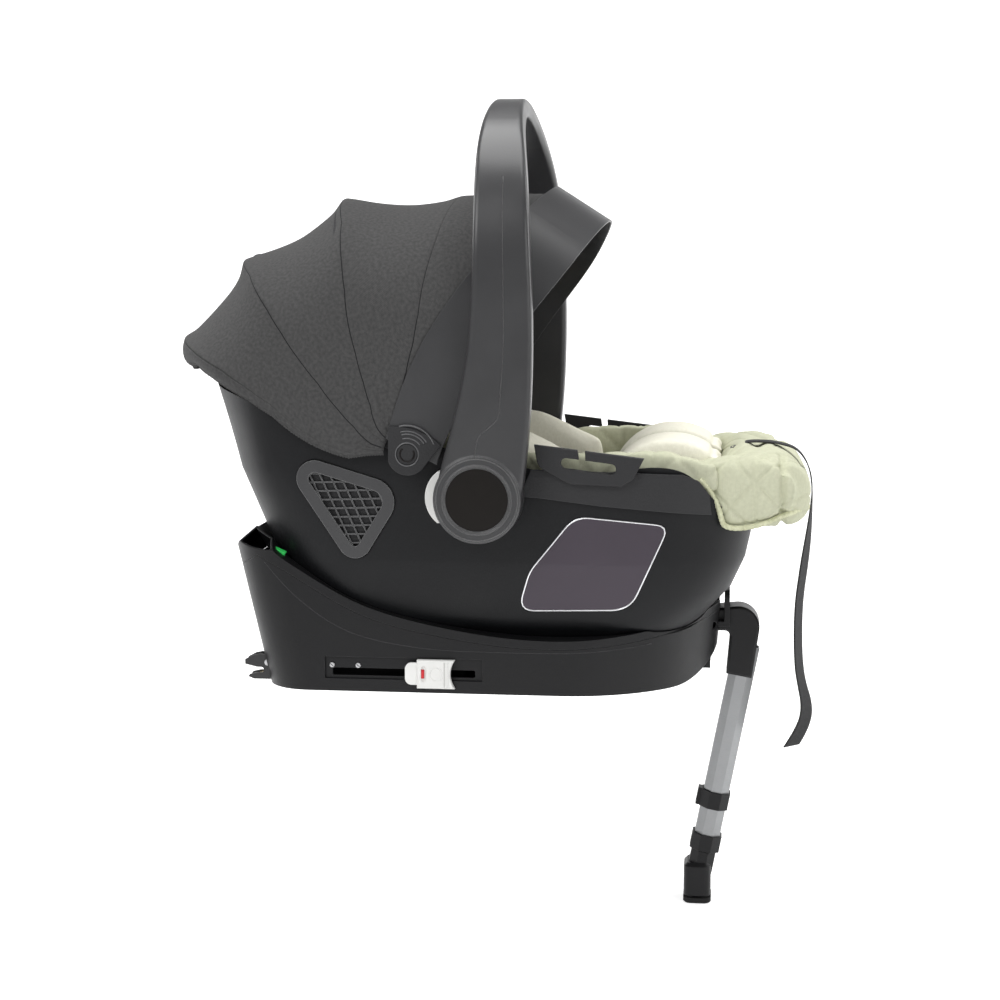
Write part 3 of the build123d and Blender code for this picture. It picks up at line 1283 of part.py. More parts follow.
def visor_cap(side):
    """The fan-shaped cap over the canopy pin, with raised arcs and a ring."""
    face = HALF + VISOR_START + VISOR_THICKNESS
    x, z = CANOPY_PIVOT
    with BuildPart() as cap:
        with BuildSketch(Plane.XZ.offset(-side * face)) as fan:
            with BuildLine():
                over = ThreePointArc(*[(x + along, z + up) for along, up in CAP_OVER])
                under = ThreePointArc(*[(x + along, z + up) for along, up in CAP_UNDER])
                Line(over @ 1, under @ 0)
                Line(under @ 1, over @ 0)
            make_face()
        extrude(amount=-side * VISOR_CAP_THICKNESS)
        with BuildSketch(Plane.XZ.offset(-side * (face + VISOR_CAP_THICKNESS))):
            with Locations((x, z)):
                Circle(CAP_RING)
                Circle(CAP_RING - CAP_RING_WIDTH, mode=Mode.SUBTRACT)
        extrude(amount=side * CAP_RING_DEPTH, mode=Mode.SUBTRACT)
        with BuildSketch(Plane.XZ.offset(-side * face)):
            with Locations((x, z)):
                Circle(CANOPY_PIN_RADIUS + PIN_FIT)
        extrude(amount=-side * CAP_PIN_DEPTH, mode=Mode.SUBTRACT)
    return cap.part


# ---------------------------------------------------------------- write every piece

def main():
    """Make and save every piece of the seat."""
    pieces = {
        "base_lower_housing": base_lower_housing(),
        "base_upper_housing": base_upper_housing(),
        "indicator_window": indicator_window(),
        "carrier_release": carrier_release(),
        "isofix_cross_tube": isofix_cross_tube(),
        "leg_elbow": leg_elbow(),
        "leg_tube": leg_tube(),
        "leg_collar": leg_collar(),
        "leg_clip": leg_clip(),
        "leg_lower_tube": leg_lower_tube(),
        "leg_foot": leg_foot(),
        "foot_sole": foot_sole(),
        "shell": shell(),
        "head_trim": head_trim(),
        "latch_bars": latch_bars(),
        "foam_liner": foam_liner(),
        "seat_cover": seat_cover(),
        "foot_cushion": foot_cushion(),
        "newborn_insert": newborn_insert(),
        "head_pillow": head_pillow(),
        "crotch_strap": crotch_strap(),
        "buckle_body": buckle_body(),
        "buckle_button": buckle_button(),
        "shoulder_straps": shoulder_straps(),
        "adjuster_plate": adjuster_plate(),
        "adjuster_button": adjuster_button(),
        "adjuster_strap": adjuster_strap(),
        "handle_frame": handle_frame(),
        "visor": visor(),
    }
    for name, side in SIDES.items():
        pieces[f"isofix_arm_{name}"] = isofix_arm(side)
        pieces[f"isofix_hook_{name}"] = isofix_hook(side)
        pieces[f"slider_rail_{name}"] = slider_rail(side)
        pieces[f"isofix_slider_{name}"] = isofix_slider(side)
        pieces[f"rim_trim_{name}"] = rim_trim(side)
        pieces[f"belt_guide_{name}"] = belt_guide(side)
        pieces[f"vent_grille_{name}"] = vent_grille(side)
        pieces[f"leg_bolster_{name}"] = leg_bolster(side)
        pieces[f"handle_button_{name}"] = handle_button(side)
        pieces[f"hub_disc_{name}"] = hub_disc(side)
        pieces[f"visor_cap_{name}"] = visor_cap(side)
    for number in BOWS:
        pieces[f"canopy_bow_{number}"] = canopy_bow(number)
    edges = [(direction, reach + FABRIC_OVER_BOW) for direction, reach in BOWS.values()]
    edges.append(VISOR_EDGE)
    pieces["canopy_skirt"] = canopy_panel(SKIRT_EDGE, edges[0])
    for number in BOWS:
        pieces[f"canopy_panel_{number}"] = canopy_panel(edges[number - 1], edges[number])
    for name, piece in pieces.items():
        save(piece, name)


main()
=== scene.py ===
import json
from math import cos, exp, pi, radians, sin

import bmesh
import bpy
from mathutils import Matrix, Vector, noise
from mathutils.bvhtree import BVHTree


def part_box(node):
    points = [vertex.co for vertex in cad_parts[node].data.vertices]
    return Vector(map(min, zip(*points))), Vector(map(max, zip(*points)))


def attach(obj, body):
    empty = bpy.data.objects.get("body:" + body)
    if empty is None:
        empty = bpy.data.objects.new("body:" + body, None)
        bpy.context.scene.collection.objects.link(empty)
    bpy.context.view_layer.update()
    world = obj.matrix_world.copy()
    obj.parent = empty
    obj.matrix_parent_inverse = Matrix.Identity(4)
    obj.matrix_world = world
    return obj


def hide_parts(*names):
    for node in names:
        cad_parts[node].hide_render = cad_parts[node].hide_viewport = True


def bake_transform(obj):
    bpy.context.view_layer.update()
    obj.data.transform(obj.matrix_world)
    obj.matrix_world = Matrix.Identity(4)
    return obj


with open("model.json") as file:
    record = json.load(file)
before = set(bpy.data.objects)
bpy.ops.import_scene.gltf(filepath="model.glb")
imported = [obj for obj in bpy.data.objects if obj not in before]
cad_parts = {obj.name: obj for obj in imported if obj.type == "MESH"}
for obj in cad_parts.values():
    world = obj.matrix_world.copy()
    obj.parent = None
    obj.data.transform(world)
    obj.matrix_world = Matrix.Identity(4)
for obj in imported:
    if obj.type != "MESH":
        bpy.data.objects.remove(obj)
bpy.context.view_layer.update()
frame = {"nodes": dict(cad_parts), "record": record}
MM = 0.001
LEFT_RIGHT = {"left": 1, "right": -1}
# Distances in metres within which points are merged, in a grid and in a copy of a CAD node
GRID_WELD = 0.00002
MERGE_DISTANCE = 1e-6
# Angles in degrees from which an edge stays sharp, on copies of CAD nodes and on small round pieces
NODE_SHARP = 30
TRIM_SHARP = 35


# ------------------------------------------------------------------ materials

class Finish:
    """A procedural material under construction: a Principled shader and the nodes that feed it."""

    def __init__(self, name, colour, roughness, metallic=0.0, **sockets):
        self.material = bpy.data.materials.new(name)
        self.material.use_nodes = True
        self.tree = self.material.node_tree
        self.shader = self.tree.nodes["Principled BSDF"]
        self.shader.inputs["Base Color"].default_value = (*colour, 1)
        self.shader.inputs["Roughness"].default_value = roughness
        self.shader.inputs["Metallic"].default_value = metallic
        for socket, value in sockets.items():
            self.shader.inputs[socket.replace("_", " ")].default_value = value
        self.coordinates = self.node("ShaderNodeTexCoord").outputs["Object"]

    def node(self, kind, inputs=None, **settings):
        """A node with its settings and input values; an input that is an output socket is linked."""
        made = self.tree.nodes.new(kind)
        for key, value in settings.items():
            setattr(made, key, value)
        for key, value in (inputs or {}).items():
            if isinstance(value, bpy.types.NodeSocket):
                self.tree.links.new(value, made.inputs[key])
            else:
                made.inputs[key].default_value = value
        return made

    def use_uv(self):
        """Let patterns follow the piece's own UV map, which is in metres."""
        self.coordinates = self.node("ShaderNodeUVMap", uv_map="cloth").outputs["UV"]
        return self

    def grain(self, scale, detail=3.0, stretch=(1, 1, 1)):
        """Noise over the surface, from 0 to 1."""
        mapped = self.node("ShaderNodeMapping", {"Vector": self.coordinates, "Scale": stretch})
        made = self.node("ShaderNodeTexNoise",
                         {"Vector": mapped.outputs[0], "Scale": scale, "Detail": detail})
        return made.outputs["Fac"]

    def math(self, operation, a, b=0.0):
        return self.node("ShaderNodeMath", {0: a, 1: b}, operation=operation).outputs[0]

    def ramp(self, factor, low, high, start=0.0, end=1.0):
        """Numbers from low to high as the factor goes from start to end."""
        made = self.node("ShaderNodeMapRange", {0: factor, 1: start, 2: end, 3: low, 4: high})
        return made.outputs[0]

    def mix(self, factor, first, second):
        """A colour between two colours."""
        made = self.node("ShaderNodeMix", data_type="RGBA")
        for index, value in ((0, factor), (6, first), (7, second)):
            if isinstance(value, bpy.types.NodeSocket):
                self.tree.links.new(value, made.inputs[index])
            else:
                made.inputs[index].default_value = value if index == 0 else (*value[:3], 1)
        return made.outputs[2]

    def edges(self, radius):
        """1 along sharp edges and 0 on flat faces."""
        round_normal = self.node("ShaderNodeBevel", {"Radius": radius}, samples=6).outputs[0]
        normal = self.node("ShaderNodeNewGeometry").outputs["Normal"]
        dot = self.node("ShaderNodeVectorMath", {0: round_normal, 1: normal}, operation="DOT_PRODUCT")
        return self.ramp(dot.outputs["Value"], 1.0, 0.0, 0.75, 0.99)

    def paint(self, colour):
        self.tree.links.new(colour, self.shader.inputs["Base Color"])
        return self

    def gloss(self, roughness):
        self.tree.links.new(roughness, self.shader.inputs["Roughness"])
        return self

    def relief(self, height, distance, bevel=None):
        """Bump from a height between 0 and 1, over rounded edges if a bevel radius is given."""
        inputs = {"Height": height, "Distance": distance, "Strength": 1.0}
        if bevel:
            inputs["Normal"] = self.node("ShaderNodeBevel", {"Radius": bevel}, samples=6).outputs[0]
        bump = self.node("ShaderNodeBump", inputs)
        self.tree.links.new(bump.outputs[0], self.shader.inputs["Normal"])
        return self


def plastic(name, colour, roughness, grain=700.0, depth=0.00012, edge_highlight=0.02, bevel=0.0012, shine=0.3):
    """Moulded plastic: fine grain, cloudy gloss and a painted highlight along its edges."""
    made = Finish(name, colour, roughness, Specular_IOR_Level=shine)
    fine = made.grain(grain, 2.0)
    cloud = made.grain(14.0, 4.0)
    # The edges are painted paler by this amount: a painted highlight along the bevels.
    highlight_colour = [min(1.0, c + edge_highlight) for c in colour]
    dull = [c * 0.86 for c in colour]
    surface = made.mix(made.ramp(cloud, 0.0, 1.0, 0.3, 0.7), dull, colour)
    made.paint(made.mix(made.edges(bevel * 1.3), surface, highlight_colour))
    made.gloss(made.ramp(cloud, roughness - 0.05, roughness + 0.07, 0.25, 0.75))
    made.relief(fine, depth, bevel)
    return made.material


def metal(name, colour, roughness, streak=(1, 1, 12), bevel=0.0008):
    """Bare metal with fine drawn streaks."""
    made = Finish(name, colour, roughness, metallic=1.0)
    streaks = made.grain(120.0, 3.0, streak)
    made.gloss(made.ramp(streaks, roughness - 0.06, roughness + 0.12, 0.3, 0.7))
    made.paint(made.mix(made.grain(30.0), [c * 0.85 for c in colour], colour))
    made.relief(streaks, 0.00003, bevel)
    return made.material


def woven(made, thread, colour, shade, depth):
    """Crossing threads of a width in metres on the UV map."""
    turn = 2 * pi / thread
    split = made.node("ShaderNodeSeparateXYZ", {0: made.coordinates})
    warp = made.math("SINE", made.math("MULTIPLY", split.outputs[0], turn))
    weft = made.math("SINE", made.math("MULTIPLY", split.outputs[1], turn))
    weave = made.ramp(made.math("MULTIPLY", warp, weft), 0.0, 1.0, -1.0, 1.0)
    melange = made.grain(260.0, 4.0)
    patch = made.grain(9.0, 3.0)
    tone = made.mix(made.ramp(melange, 0.0, 1.0, 0.32, 0.68), shade, colour)
    made.paint(made.mix(made.ramp(patch, 0.0, 0.25, 0.3, 0.7), tone, [c * 0.8 for c in colour]))
    height = made.math("ADD", made.math("MULTIPLY", weave, 0.5), made.math("MULTIPLY", melange, 0.5))
    made.relief(height, depth)
    return made.material


# Every plastic gets a painted highlight along its edges; the handle, grille and white slider get the
# strongest.
BASE_BLACK = plastic("base_black", (0.007, 0.007, 0.0078), 0.42, shine=0.25)
SHELL_BLACK = plastic("shell_black", (0.0055, 0.0058, 0.0068), 0.48, edge_highlight=0.012, shine=0.22)
TRIM_GREY = plastic("trim_grey", (0.022, 0.022, 0.0235), 0.55, grain=420.0, depth=0.0003)
# The handle's bevels carry a strong painted highlight along every edge.
HANDLE_GREY = plastic("handle_grey", (0.038, 0.038, 0.040), 0.33, depth=0.00006, edge_highlight=0.12, bevel=0.003,
                      shine=0.5)
DISC_BROWN = plastic("disc_brown", (0.006, 0.0045, 0.0036), 0.3, depth=0.00004, edge_highlight=0.01, shine=0.2)
VISOR_GREY = plastic("visor_grey", (0.03, 0.03, 0.032), 0.4, depth=0.00005, shine=0.5)
SOFT_WHITE = plastic("soft_white", (0.82, 0.82, 0.8), 0.45, depth=0.00003, edge_highlight=0.1, shine=0.5)
SIGNAL_RED = plastic("signal_red", (0.62, 0.01, 0.02), 0.3, depth=0.00002, shine=0.5)
LENS_GREEN = plastic("lens_green", (0.05, 0.7, 0.14), 0.2, depth=0.00001, shine=0.5)
RUBBER = plastic("rubber", (0.012, 0.012, 0.012), 0.8, depth=0.0002)
ALUMINIUM = metal("aluminium", (0.28, 0.285, 0.29), 0.36)
PAINTED_STEEL = plastic("painted_steel", (0.016, 0.016, 0.017), 0.4, depth=0.00004, shine=0.5)
ZINC = metal("zinc", (0.5, 0.5, 0.51), 0.35)
BRASS = metal("brass", (0.66, 0.53, 0.27), 0.36)
CANOPY_KNIT = woven(Finish("canopy_knit", (0.07, 0.07, 0.07), 0.95, Specular_IOR_Level=0.2).use_uv(), 0.0022,
                    (0.074, 0.073, 0.073), (0.05, 0.05, 0.05), 0.0002)
SAGE = woven(Finish("sage", (0.58, 0.59, 0.44), 0.95, Specular_IOR_Level=0.2), 0.0018, (0.58, 0.59, 0.44),
             (0.52, 0.53, 0.39), 0.0002)
CREAM = woven(Finish("cream", (0.84, 0.82, 0.70), 0.95, Specular_IOR_Level=0.2), 0.0018, (0.85, 0.83, 0.71),
              (0.78, 0.76, 0.64), 0.0002)
PIPING = woven(Finish("piping", (0.68, 0.69, 0.47), 0.95, Specular_IOR_Level=0.2), 0.003, (0.72, 0.73, 0.52),
               (0.52, 0.53, 0.34), 0.0006)
# Glossy trim for the cap's raised arcs and ring; its paler grey is a painted highlight on the ridges.
TRIM_HIGHLIGHT = plastic("trim_painted_highlight", (0.09, 0.09, 0.094), 0.3, depth=0.00003, shine=0.6)
# The grille's bars carry a strong painted highlight along their edges.
GRILLE_GREY = plastic("grille_grey", (0.03, 0.03, 0.032), 0.34, depth=0.00004, edge_highlight=0.16, bevel=0.0012,
                      shine=0.5)
LABEL_PURPLE = plastic("label_purple", (0.045, 0.034, 0.048), 0.45, depth=0.00001, shine=0.4)
SILVER = metal("silver_border", (0.8, 0.8, 0.82), 0.3)
CANOPY_SEAM = plastic("canopy_seam", (0.008, 0.008, 0.009), 0.85)
WEBBING = woven(Finish("webbing", (0.02, 0.02, 0.02), 0.85).use_uv(), 0.0018, (0.022, 0.022, 0.023),
                (0.012, 0.012, 0.013), 0.0003)

SLOT_FINISH = {
    "base_plastic": BASE_BLACK, "shell_plastic": SHELL_BLACK, "trim_plastic": TRIM_GREY,
    "handle_plastic": HANDLE_GREY, "disc_plastic": DISC_BROWN, "visor_plastic": VISOR_GREY,
    "white_plastic": SOFT_WHITE, "red_plastic": SIGNAL_RED, "lens": LENS_GREEN,
    "canopy_fabric": CANOPY_KNIT, "cover_fabric": SAGE, "cream_fabric": CREAM, "webbing": WEBBING,
    "foam": TRIM_GREY, "aluminium": ALUMINIUM, "steel": PAINTED_STEEL, "brass": BRASS, "rubber": RUBBER,
}
# Nodes that are glossier than the rest of their slot, with a strong painted highlight along their edges
NODE_FINISH = {"vent_grille_left": GRILLE_GREY, "vent_grille_right": GRILLE_GREY}


def dress_cad_nodes():
    """Give every CAD node the finish of its record slot."""
    for part in frame["record"]["subparts"]:
        mesh = frame["nodes"][part["node"]].data
        mesh.materials.clear()
        mesh.materials.append(NODE_FINISH.get(part["node"], SLOT_FINISH[part["material_slot"]]))


# ------------------------------------------------------------------ building helpers

def joint_place(name):
    """Where a joint turns, in the row frame."""
    joints = frame["record"]["behaviour"]["joints"]
    return Vector(next(joint for joint in joints if joint["name"] == name)["pos_m"])


def smooth_share(value, low=0.0, high=1.0):
    """0 below low, 1 above high and smooth between."""
    share = min(1.0, max(0.0, (value - low) / (high - low)))
    return share * share * (3 - 2 * share)


def spread(value, low, high):
    """The number a share of the way from low to high."""
    return low + (high - low) * value


def along_table(table, value):
    """Read a table of (place, number) rows, with straight lines between them."""
    for (low, first), (high, second) in zip(table, table[1:]):
        if value <= high:
            return spread(max(0.0, (value - low) / (high - low)), first, second)
    return table[-1][1]


def finished(name, shape, finish, body=None, sharp=None):
    """Turn a bmesh into a piece with its finish and body."""
    mesh = bpy.data.meshes.new(name)
    bmesh.ops.recalc_face_normals(shape, faces=shape.faces)
    shape.to_mesh(mesh)
    shape.free()
    mesh.materials.append(finish)
    mesh.shade_smooth()
    if sharp:
        mesh.set_sharp_from_angle(angle=radians(sharp))
    piece = bpy.data.objects.new(name, mesh)
    bpy.context.collection.objects.link(piece)
    if body:
        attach(piece, body)
    return piece


def lay_cloth(shape, columns, rows):
    """Give a grid its UV map in metres from its own edge lengths, and return its mean width and length."""
    shape.verts.ensure_lookup_table()
    row = columns + 1
    points = [point.co for point in shape.verts]
    places = []
    for j in range(rows + 1):
        along = 0.0
        for i in range(row):
            along += (points[j * row + i] - points[j * row + i - 1]).length if i else 0.0
            across = places[(j - 1) * row + i][1] if j else 0.0
            across += (points[j * row + i] - points[(j - 1) * row + i]).length if j else 0.0
            places.append((along, across))
    width = sum(places[j * row + columns][0] for j in range(rows + 1)) / (rows + 1)
    length = sum(places[rows * row + i][1] for i in range(row)) / row
    layer = shape.loops.layers.uv.new("cloth")
    for face in shape.faces:
        for corner in face.loops:
            corner[layer].uv = places[corner.vert.index]
    return width, length


def grid_sheet(name, columns, rows, place, finish, slot, thickness, body=None):
    """A sheet laid out on a grid by place(u, v) and thickened inwards, with its flat size and its area."""
    shape = bmesh.new()
    bmesh.ops.create_grid(shape, x_segments=columns, y_segments=rows, size=1.0)
    shape.verts.ensure_lookup_table()
    shares = [((point.co.x + 1) / 2, (point.co.y + 1) / 2) for point in shape.verts]
    for point, (u, v) in zip(shape.verts, shares):
        point.co = place(u, v) * MM
    flat = lay_cloth(shape, columns, rows)
    bmesh.ops.remove_doubles(shape, verts=shape.verts, dist=GRID_WELD)
    area = sum(face.calc_area() for face in shape.faces)
    bmesh.ops.solidify(shape, geom=shape.faces[:], thickness=thickness * MM)
    return finished(name, shape, finish, body), flat, area


def declare_sheet(made):
    piece, (width, length), area = made
    return piece


def path_frames(path, closed=False):
    """Directions along a path and across it, turned as little as possible from one point to the next."""
    count = len(path)
    frames = []
    across = None
    for index in range(count):
        ahead = path[(index + 1) % count] if closed or index < count - 1 else path[index]
        behind = path[index - 1] if closed or index else path[index]
        along = (ahead - behind).normalized()
        if across is None:
            across = along.orthogonal().normalized()
        across = (across - along * across.dot(along)).normalized()
        frames.append((along, across, along.cross(across)))
    return frames


def tube(name, path, radius, finish, body=None, sides=8, closed=False, squash=1.0, up=None):
    """A round or flattened cord swept along a path in millimetres; up turns its flat side."""
    path = [Vector(point) for point in path]
    frames = path_frames(path, closed)
    if up:
        frames = [(along, along.cross(Vector(up)).normalized(), Vector(up)) for along, _, _ in frames]
    radii = radius if hasattr(radius, "__len__") else [radius] * len(path)
    shape = bmesh.new()
    ring = bmesh.ops.create_circle(shape, segments=sides, radius=1.0)["verts"]
    turns = [(point.co.x, point.co.y) for point in ring]
    first = ring
    for index, (point, (along, across, over)) in enumerate(zip(path, frames)):
        if index:
            edges = [edge for edge in shape.edges if edge.verts[0] in ring and edge.verts[1] in ring]
            grown = bmesh.ops.extrude_edge_only(shape, edges=edges)["geom"]
            new = {item for item in grown if isinstance(item, bmesh.types.BMVert)}
            ring = [next(edge.other_vert(old) for edge in old.link_edges if edge.other_vert(old) in new)
                    for old in ring]
        for item, (x, y) in zip(ring, turns):
            item.co = (point + (across * x + over * y * squash) * radii[index]) * MM
    if closed:
        loops = [edge for edge in shape.edges if edge.is_boundary]
        bmesh.ops.bridge_loops(shape, edges=loops)
    else:
        for end in (first, ring):
            bmesh.ops.contextual_create(shape, geom=[
                edge for edge in shape.edges if edge.verts[0] in end and edge.verts[1] in end])
    return finished(name, shape, finish, body)


# ------------------------------------------------------------------ canopy fabric

CANOPY_PIVOT = joint_place("canopy_fold") / MM
CANOPY_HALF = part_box("canopy_panel_2")[1][1] / MM
SHOULDER_RADIUS = 120.0
SHOULDER_TURN = radians(62)
FABRIC_FOOT = 26.0
FABRIC_THICKNESS = 1.1
# Distance from the pivot and direction of each sewn line, which curls round the pivot
HEM_LINE = ((26, 181), (40, 181.5), (63, 184), (86, 178.5), (118, 171.5), (149, 165), (180, 162),
            (232, 160.5), (262, 160.5), (284, 164))
CREASE_LINE = ((26, 176), (40, 178), (63, 180), (89, 174.5), (122, 167), (155, 161), (187, 158.5),
               (218, 157.2), (265, 157), (304, 157.5))
SEAM_TWO = ((26, 167), (40, 165.5), (64, 154), (88, 148), (120, 142.5), (152, 139.5), (184, 137),
            (214, 135.5), (259, 134.5), (293, 136.3))
SEAM_THREE = ((26, 146), (40, 141.5), (64, 128), (88, 122), (119, 117.5), (151, 114.5), (182, 111.5),
              (211, 110), (254, 108.5), (287, 110))
SEAM_FOUR = ((26, 124), (40, 112), (62, 96.5), (85, 91), (116, 87), (146, 85.5), (176, 85),
             (226, 83.5), (275, 83))
FRONT_LINE = ((26, 100), (40, 92), (66, 80), (91, 73), (124, 67), (158, 64.5), (191, 63), (311, 62.5))
CANOPY_LINES = ((CREASE_LINE, 304.0), (SEAM_TWO, 293.0), (SEAM_THREE, 287.0), (SEAM_FOUR, 274.0),
                (FRONT_LINE, 311.0))
CANOPY_BODIES = ("carrier", "rear_bow", "middle_bow", "front_bow", "canopy_front")
PANEL_SAG = (13.0, 17.0, 14.5, 3.0)
BOW_RIDGE = 2.6
BOW_RIDGE_WIDTH = 7.0
# How many ridge widths the fabric stands out in front of a bow and behind it
BOW_LEAD = 2.4
BOW_TRAIL = 1.7
SEAM_DIP = 0.5
SEAM_WIDTH = 2.2
SEAM_RADIUS = 0.85
SEAM_STEPS = 240
HEM_REACH = 284.0
HEM_STEPS = 900
HEM_PUCKERS = 110
ELASTIC_RADIUS = 1.5
# Distances from the pivot between which the flat side turns into the rounded top
SIDE_TO_TOP = (110.0, 250.0)
SKIRT_GRID = (660, 10)
CLOTH_GRID = (170, 44)


def bell(value):
    """1 at nought, falling smoothly to nought on both sides."""
    return exp(-value * value)


def arch_point(share, half, top, foot=FABRIC_FOOT, corner=SHOULDER_RADIUS):
    """Across and outwards position at a share of the way over an arch, from the right foot to the left."""
    run = half - corner * (1 - cos(SHOULDER_TURN))
    crown = run / cos(SHOULDER_TURN)
    spring = top - corner * sin(SHOULDER_TURN) - crown * (1 - sin(SHOULDER_TURN))
    side, shoulder, over = spring - foot, corner * SHOULDER_TURN, crown * (pi / 2 - SHOULDER_TURN)
    distance = 2 * min(share, 1 - share) * (side + shoulder + over)
    if distance < side:
        across, out = -half, foot + distance
    elif distance < side + shoulder:
        angle = (distance - side) / corner
        across, out = -half + corner * (1 - cos(angle)), spring + corner * sin(angle)
    else:
        angle = SHOULDER_TURN + (distance - side - shoulder) / crown
        across, out = -crown * cos(angle), top - crown * (1 - sin(angle))
    return (-across if share > 0.5 else across), out


def canopy_point(share, line, next_line, part, reach, sink=0.0, side_sink=0.0):
    """A point of the canopy part of the way from one sewn line to the next, in millimetres."""
    across, out = arch_point(share, CANOPY_HALF - side_sink, reach - sink)
    angle = radians(spread(part, along_table(line, out), along_table(next_line, out)))
    return CANOPY_PIVOT + Vector((out * cos(angle), across, out * sin(angle)))


def panel_point(number, u, v):
    """A point of one panel: it sags between its bows, has a ridge over each and creases near the pivot."""
    (rear, rear_reach), (front, front_reach) = CANOPY_LINES[number - 1:number + 1]
    reach = spread(v, rear_reach, front_reach)
    out = arch_point(u, CANOPY_HALF, reach)[1]
    high = smooth_share(out, *SIDE_TO_TOP)
    gap = radians(along_table(rear, out) - along_table(front, out)) * out
    near_rear = v * gap
    near_front = (1 - v) * gap if number < 4 else 60.0
    wide = BOW_RIDGE_WIDTH * (BOW_LEAD if number > 1 else 1.0)
    ridge = max(0.0, 1 - bell(near_rear / wide) - bell(near_front / (BOW_RIDGE_WIDTH * BOW_TRAIL)))
    sag = max(0.0, sin(pi * v)) ** 0.9
    seam = bell(near_rear / SEAM_WIDTH) + bell(near_front / SEAM_WIDTH)
    crease = sin(v * 19.0 + out * 0.06 + number) * bell((out - 50.0) / 40.0) * 0.55 * sin(pi * v)
    soft = noise.noise(Vector((out * 0.022, v * 2.4 + number * 7.0, u * 3.0))) * sin(pi * v)
    sink = high * (BOW_RIDGE * ridge + PANEL_SAG[number - 1] * sag + 1.6 * soft)
    side_sink = (1 - high) * 0.8 * sag + SEAM_DIP * seam + crease + 0.7 * soft * (1 - high)
    return canopy_point(u, rear, front, v, reach, sink, max(0.0, side_sink))


def skirt_point(u, v):
    """A point of the skirt, which turns under from the first bow to its gathered hem."""
    low = 1 - v
    reach = spread(v, HEM_REACH, CANOPY_LINES[0][1]) + 5.0 * sin(pi * min(1.0, low * 1.1))
    high = smooth_share(arch_point(u, CANOPY_HALF, reach)[1], *SIDE_TO_TOP)
    tuck = smooth_share(low, 0.25, 1.0)
    pucker = sin(u * 2 * pi * HEM_PUCKERS) * 0.35 * smooth_share(low, 0.4, 1.0)
    return canopy_point(u, HEM_LINE, CREASE_LINE, v, reach, pucker * high,
                        (1 - high) * (1.9 * tuck + SEAM_DIP * bell((1 - v) * 7)) - pucker * (1 - high))


def build_canopy():
    """The skirt with its elastic, the four panels and the sewn lines over the bows."""
    skirt = grid_sheet("canopy_skirt_cloth", *SKIRT_GRID, skirt_point, CANOPY_KNIT, "canopy_fabric",
                       FABRIC_THICKNESS, "carrier")
    hem = [skirt_point(step / HEM_STEPS, 0.0) for step in range(HEM_STEPS + 1)]
    gathers = [ELASTIC_RADIUS + 0.45 * sin(step * 1.9) for step in range(HEM_STEPS + 1)]
    elastic = tube("canopy_elastic", hem, gathers, CANOPY_KNIT, "carrier", 6)
    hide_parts("canopy_skirt")
    for number in range(1, 5):
        made = grid_sheet(f"canopy_cloth_{number}", *CLOTH_GRID, lambda u, v: panel_point(number, u, v),
                          CANOPY_KNIT, "canopy_fabric", FABRIC_THICKNESS)
        piece = declare_sheet(made)
        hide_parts(f"canopy_panel_{number}")
        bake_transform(piece)
    for number in range(1, 4):
        line, reach = CANOPY_LINES[number]
        path = [canopy_point(step / SEAM_STEPS, line, line, 0.0, reach, -0.15, 0.0)
                for step in range(1, SEAM_STEPS)]
        tube(f"canopy_seam_{number}", path, SEAM_RADIUS, CANOPY_SEAM,
             CANOPY_BODIES[number], 6)


# ------------------------------------------------------------------ padded pieces

SWELL_FRAMES = 20
SWELL_PRESSURE = 4.0


def piece_from_node(name, node, finish, body, change=None):
    """A merged copy of a CAD solid's shape, with each point changed, that takes its place."""
    piece = bpy.data.objects.new(name, frame["nodes"][node].data.copy())
    bpy.context.collection.objects.link(piece)
    shape = bmesh.new()
    shape.from_mesh(piece.data)
    bmesh.ops.remove_doubles(shape, verts=shape.verts, dist=MERGE_DISTANCE)
    shape.to_mesh(piece.data)
    shape.free()
    loose_normals = piece.data.attributes.get("custom_normal")
    if loose_normals:
        piece.data.attributes.remove(loose_normals)
    piece.data.shade_smooth()
    piece.data.set_sharp_from_angle(angle=radians(NODE_SHARP))
    piece.data.materials.clear()
    piece.data.materials.append(finish)
    if change:
        for point in piece.data.vertices:
            point.co = change(point.co / MM) * MM
    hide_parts(node)
    if body:
        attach(piece, body)
    return piece


def settle(piece):
    """Put the piece's modifiers into its mesh."""
    bpy.context.view_layer.update()
    shaped = bpy.data.meshes.new_from_object(piece.evaluated_get(bpy.context.evaluated_depsgraph_get()))
    piece.modifiers.clear()
    piece.data = shaped


def swell(piece, most):
    """Blow the piece up as sewn cloth, with no point moving further than most."""
    cloth = piece.modifiers.new("swell", "CLOTH")
    cloth.settings.quality = 4
    cloth.settings.use_pressure = True
    cloth.settings.uniform_pressure_force = SWELL_PRESSURE
    cloth.settings.effector_weights.gravity = 0
    cloth.point_cache.frame_start, cloth.point_cache.frame_end = 1, SWELL_FRAMES
    start = [point.co.copy() for point in piece.data.vertices]
    for step in range(1, SWELL_FRAMES + 1):
        bpy.context.scene.frame_set(step)
    settle(piece)
    bpy.context.scene.frame_set(1)
    for point, place in zip(piece.data.vertices, start):
        move = point.co - place
        point.co = place + move * min(1.0, most * MM / max(move.length, 1e-9))


def press_in(piece, depth_at, smooth, skin=0.0):
    """Smooth the piece, move its surface in by skin and press its sewn lines in."""
    shape = bmesh.new()
    shape.from_mesh(piece.data)
    for _ in range(smooth):
        bmesh.ops.smooth_vert(shape, verts=shape.verts, factor=0.5,
                              use_axis_x=True, use_axis_y=True, use_axis_z=True)
    shape.normal_update()
    moves = [point.normal * (depth_at(point.co / MM, point.normal) + skin) * MM for point in shape.verts]
    for point, move in zip(shape.verts, moves):
        point.co -= move
    shape.to_mesh(piece.data)
    shape.free()
    piece.data.shade_smooth()


def no_depth(point, normal):
    """A surface with nothing sewn into it."""
    return 0.0


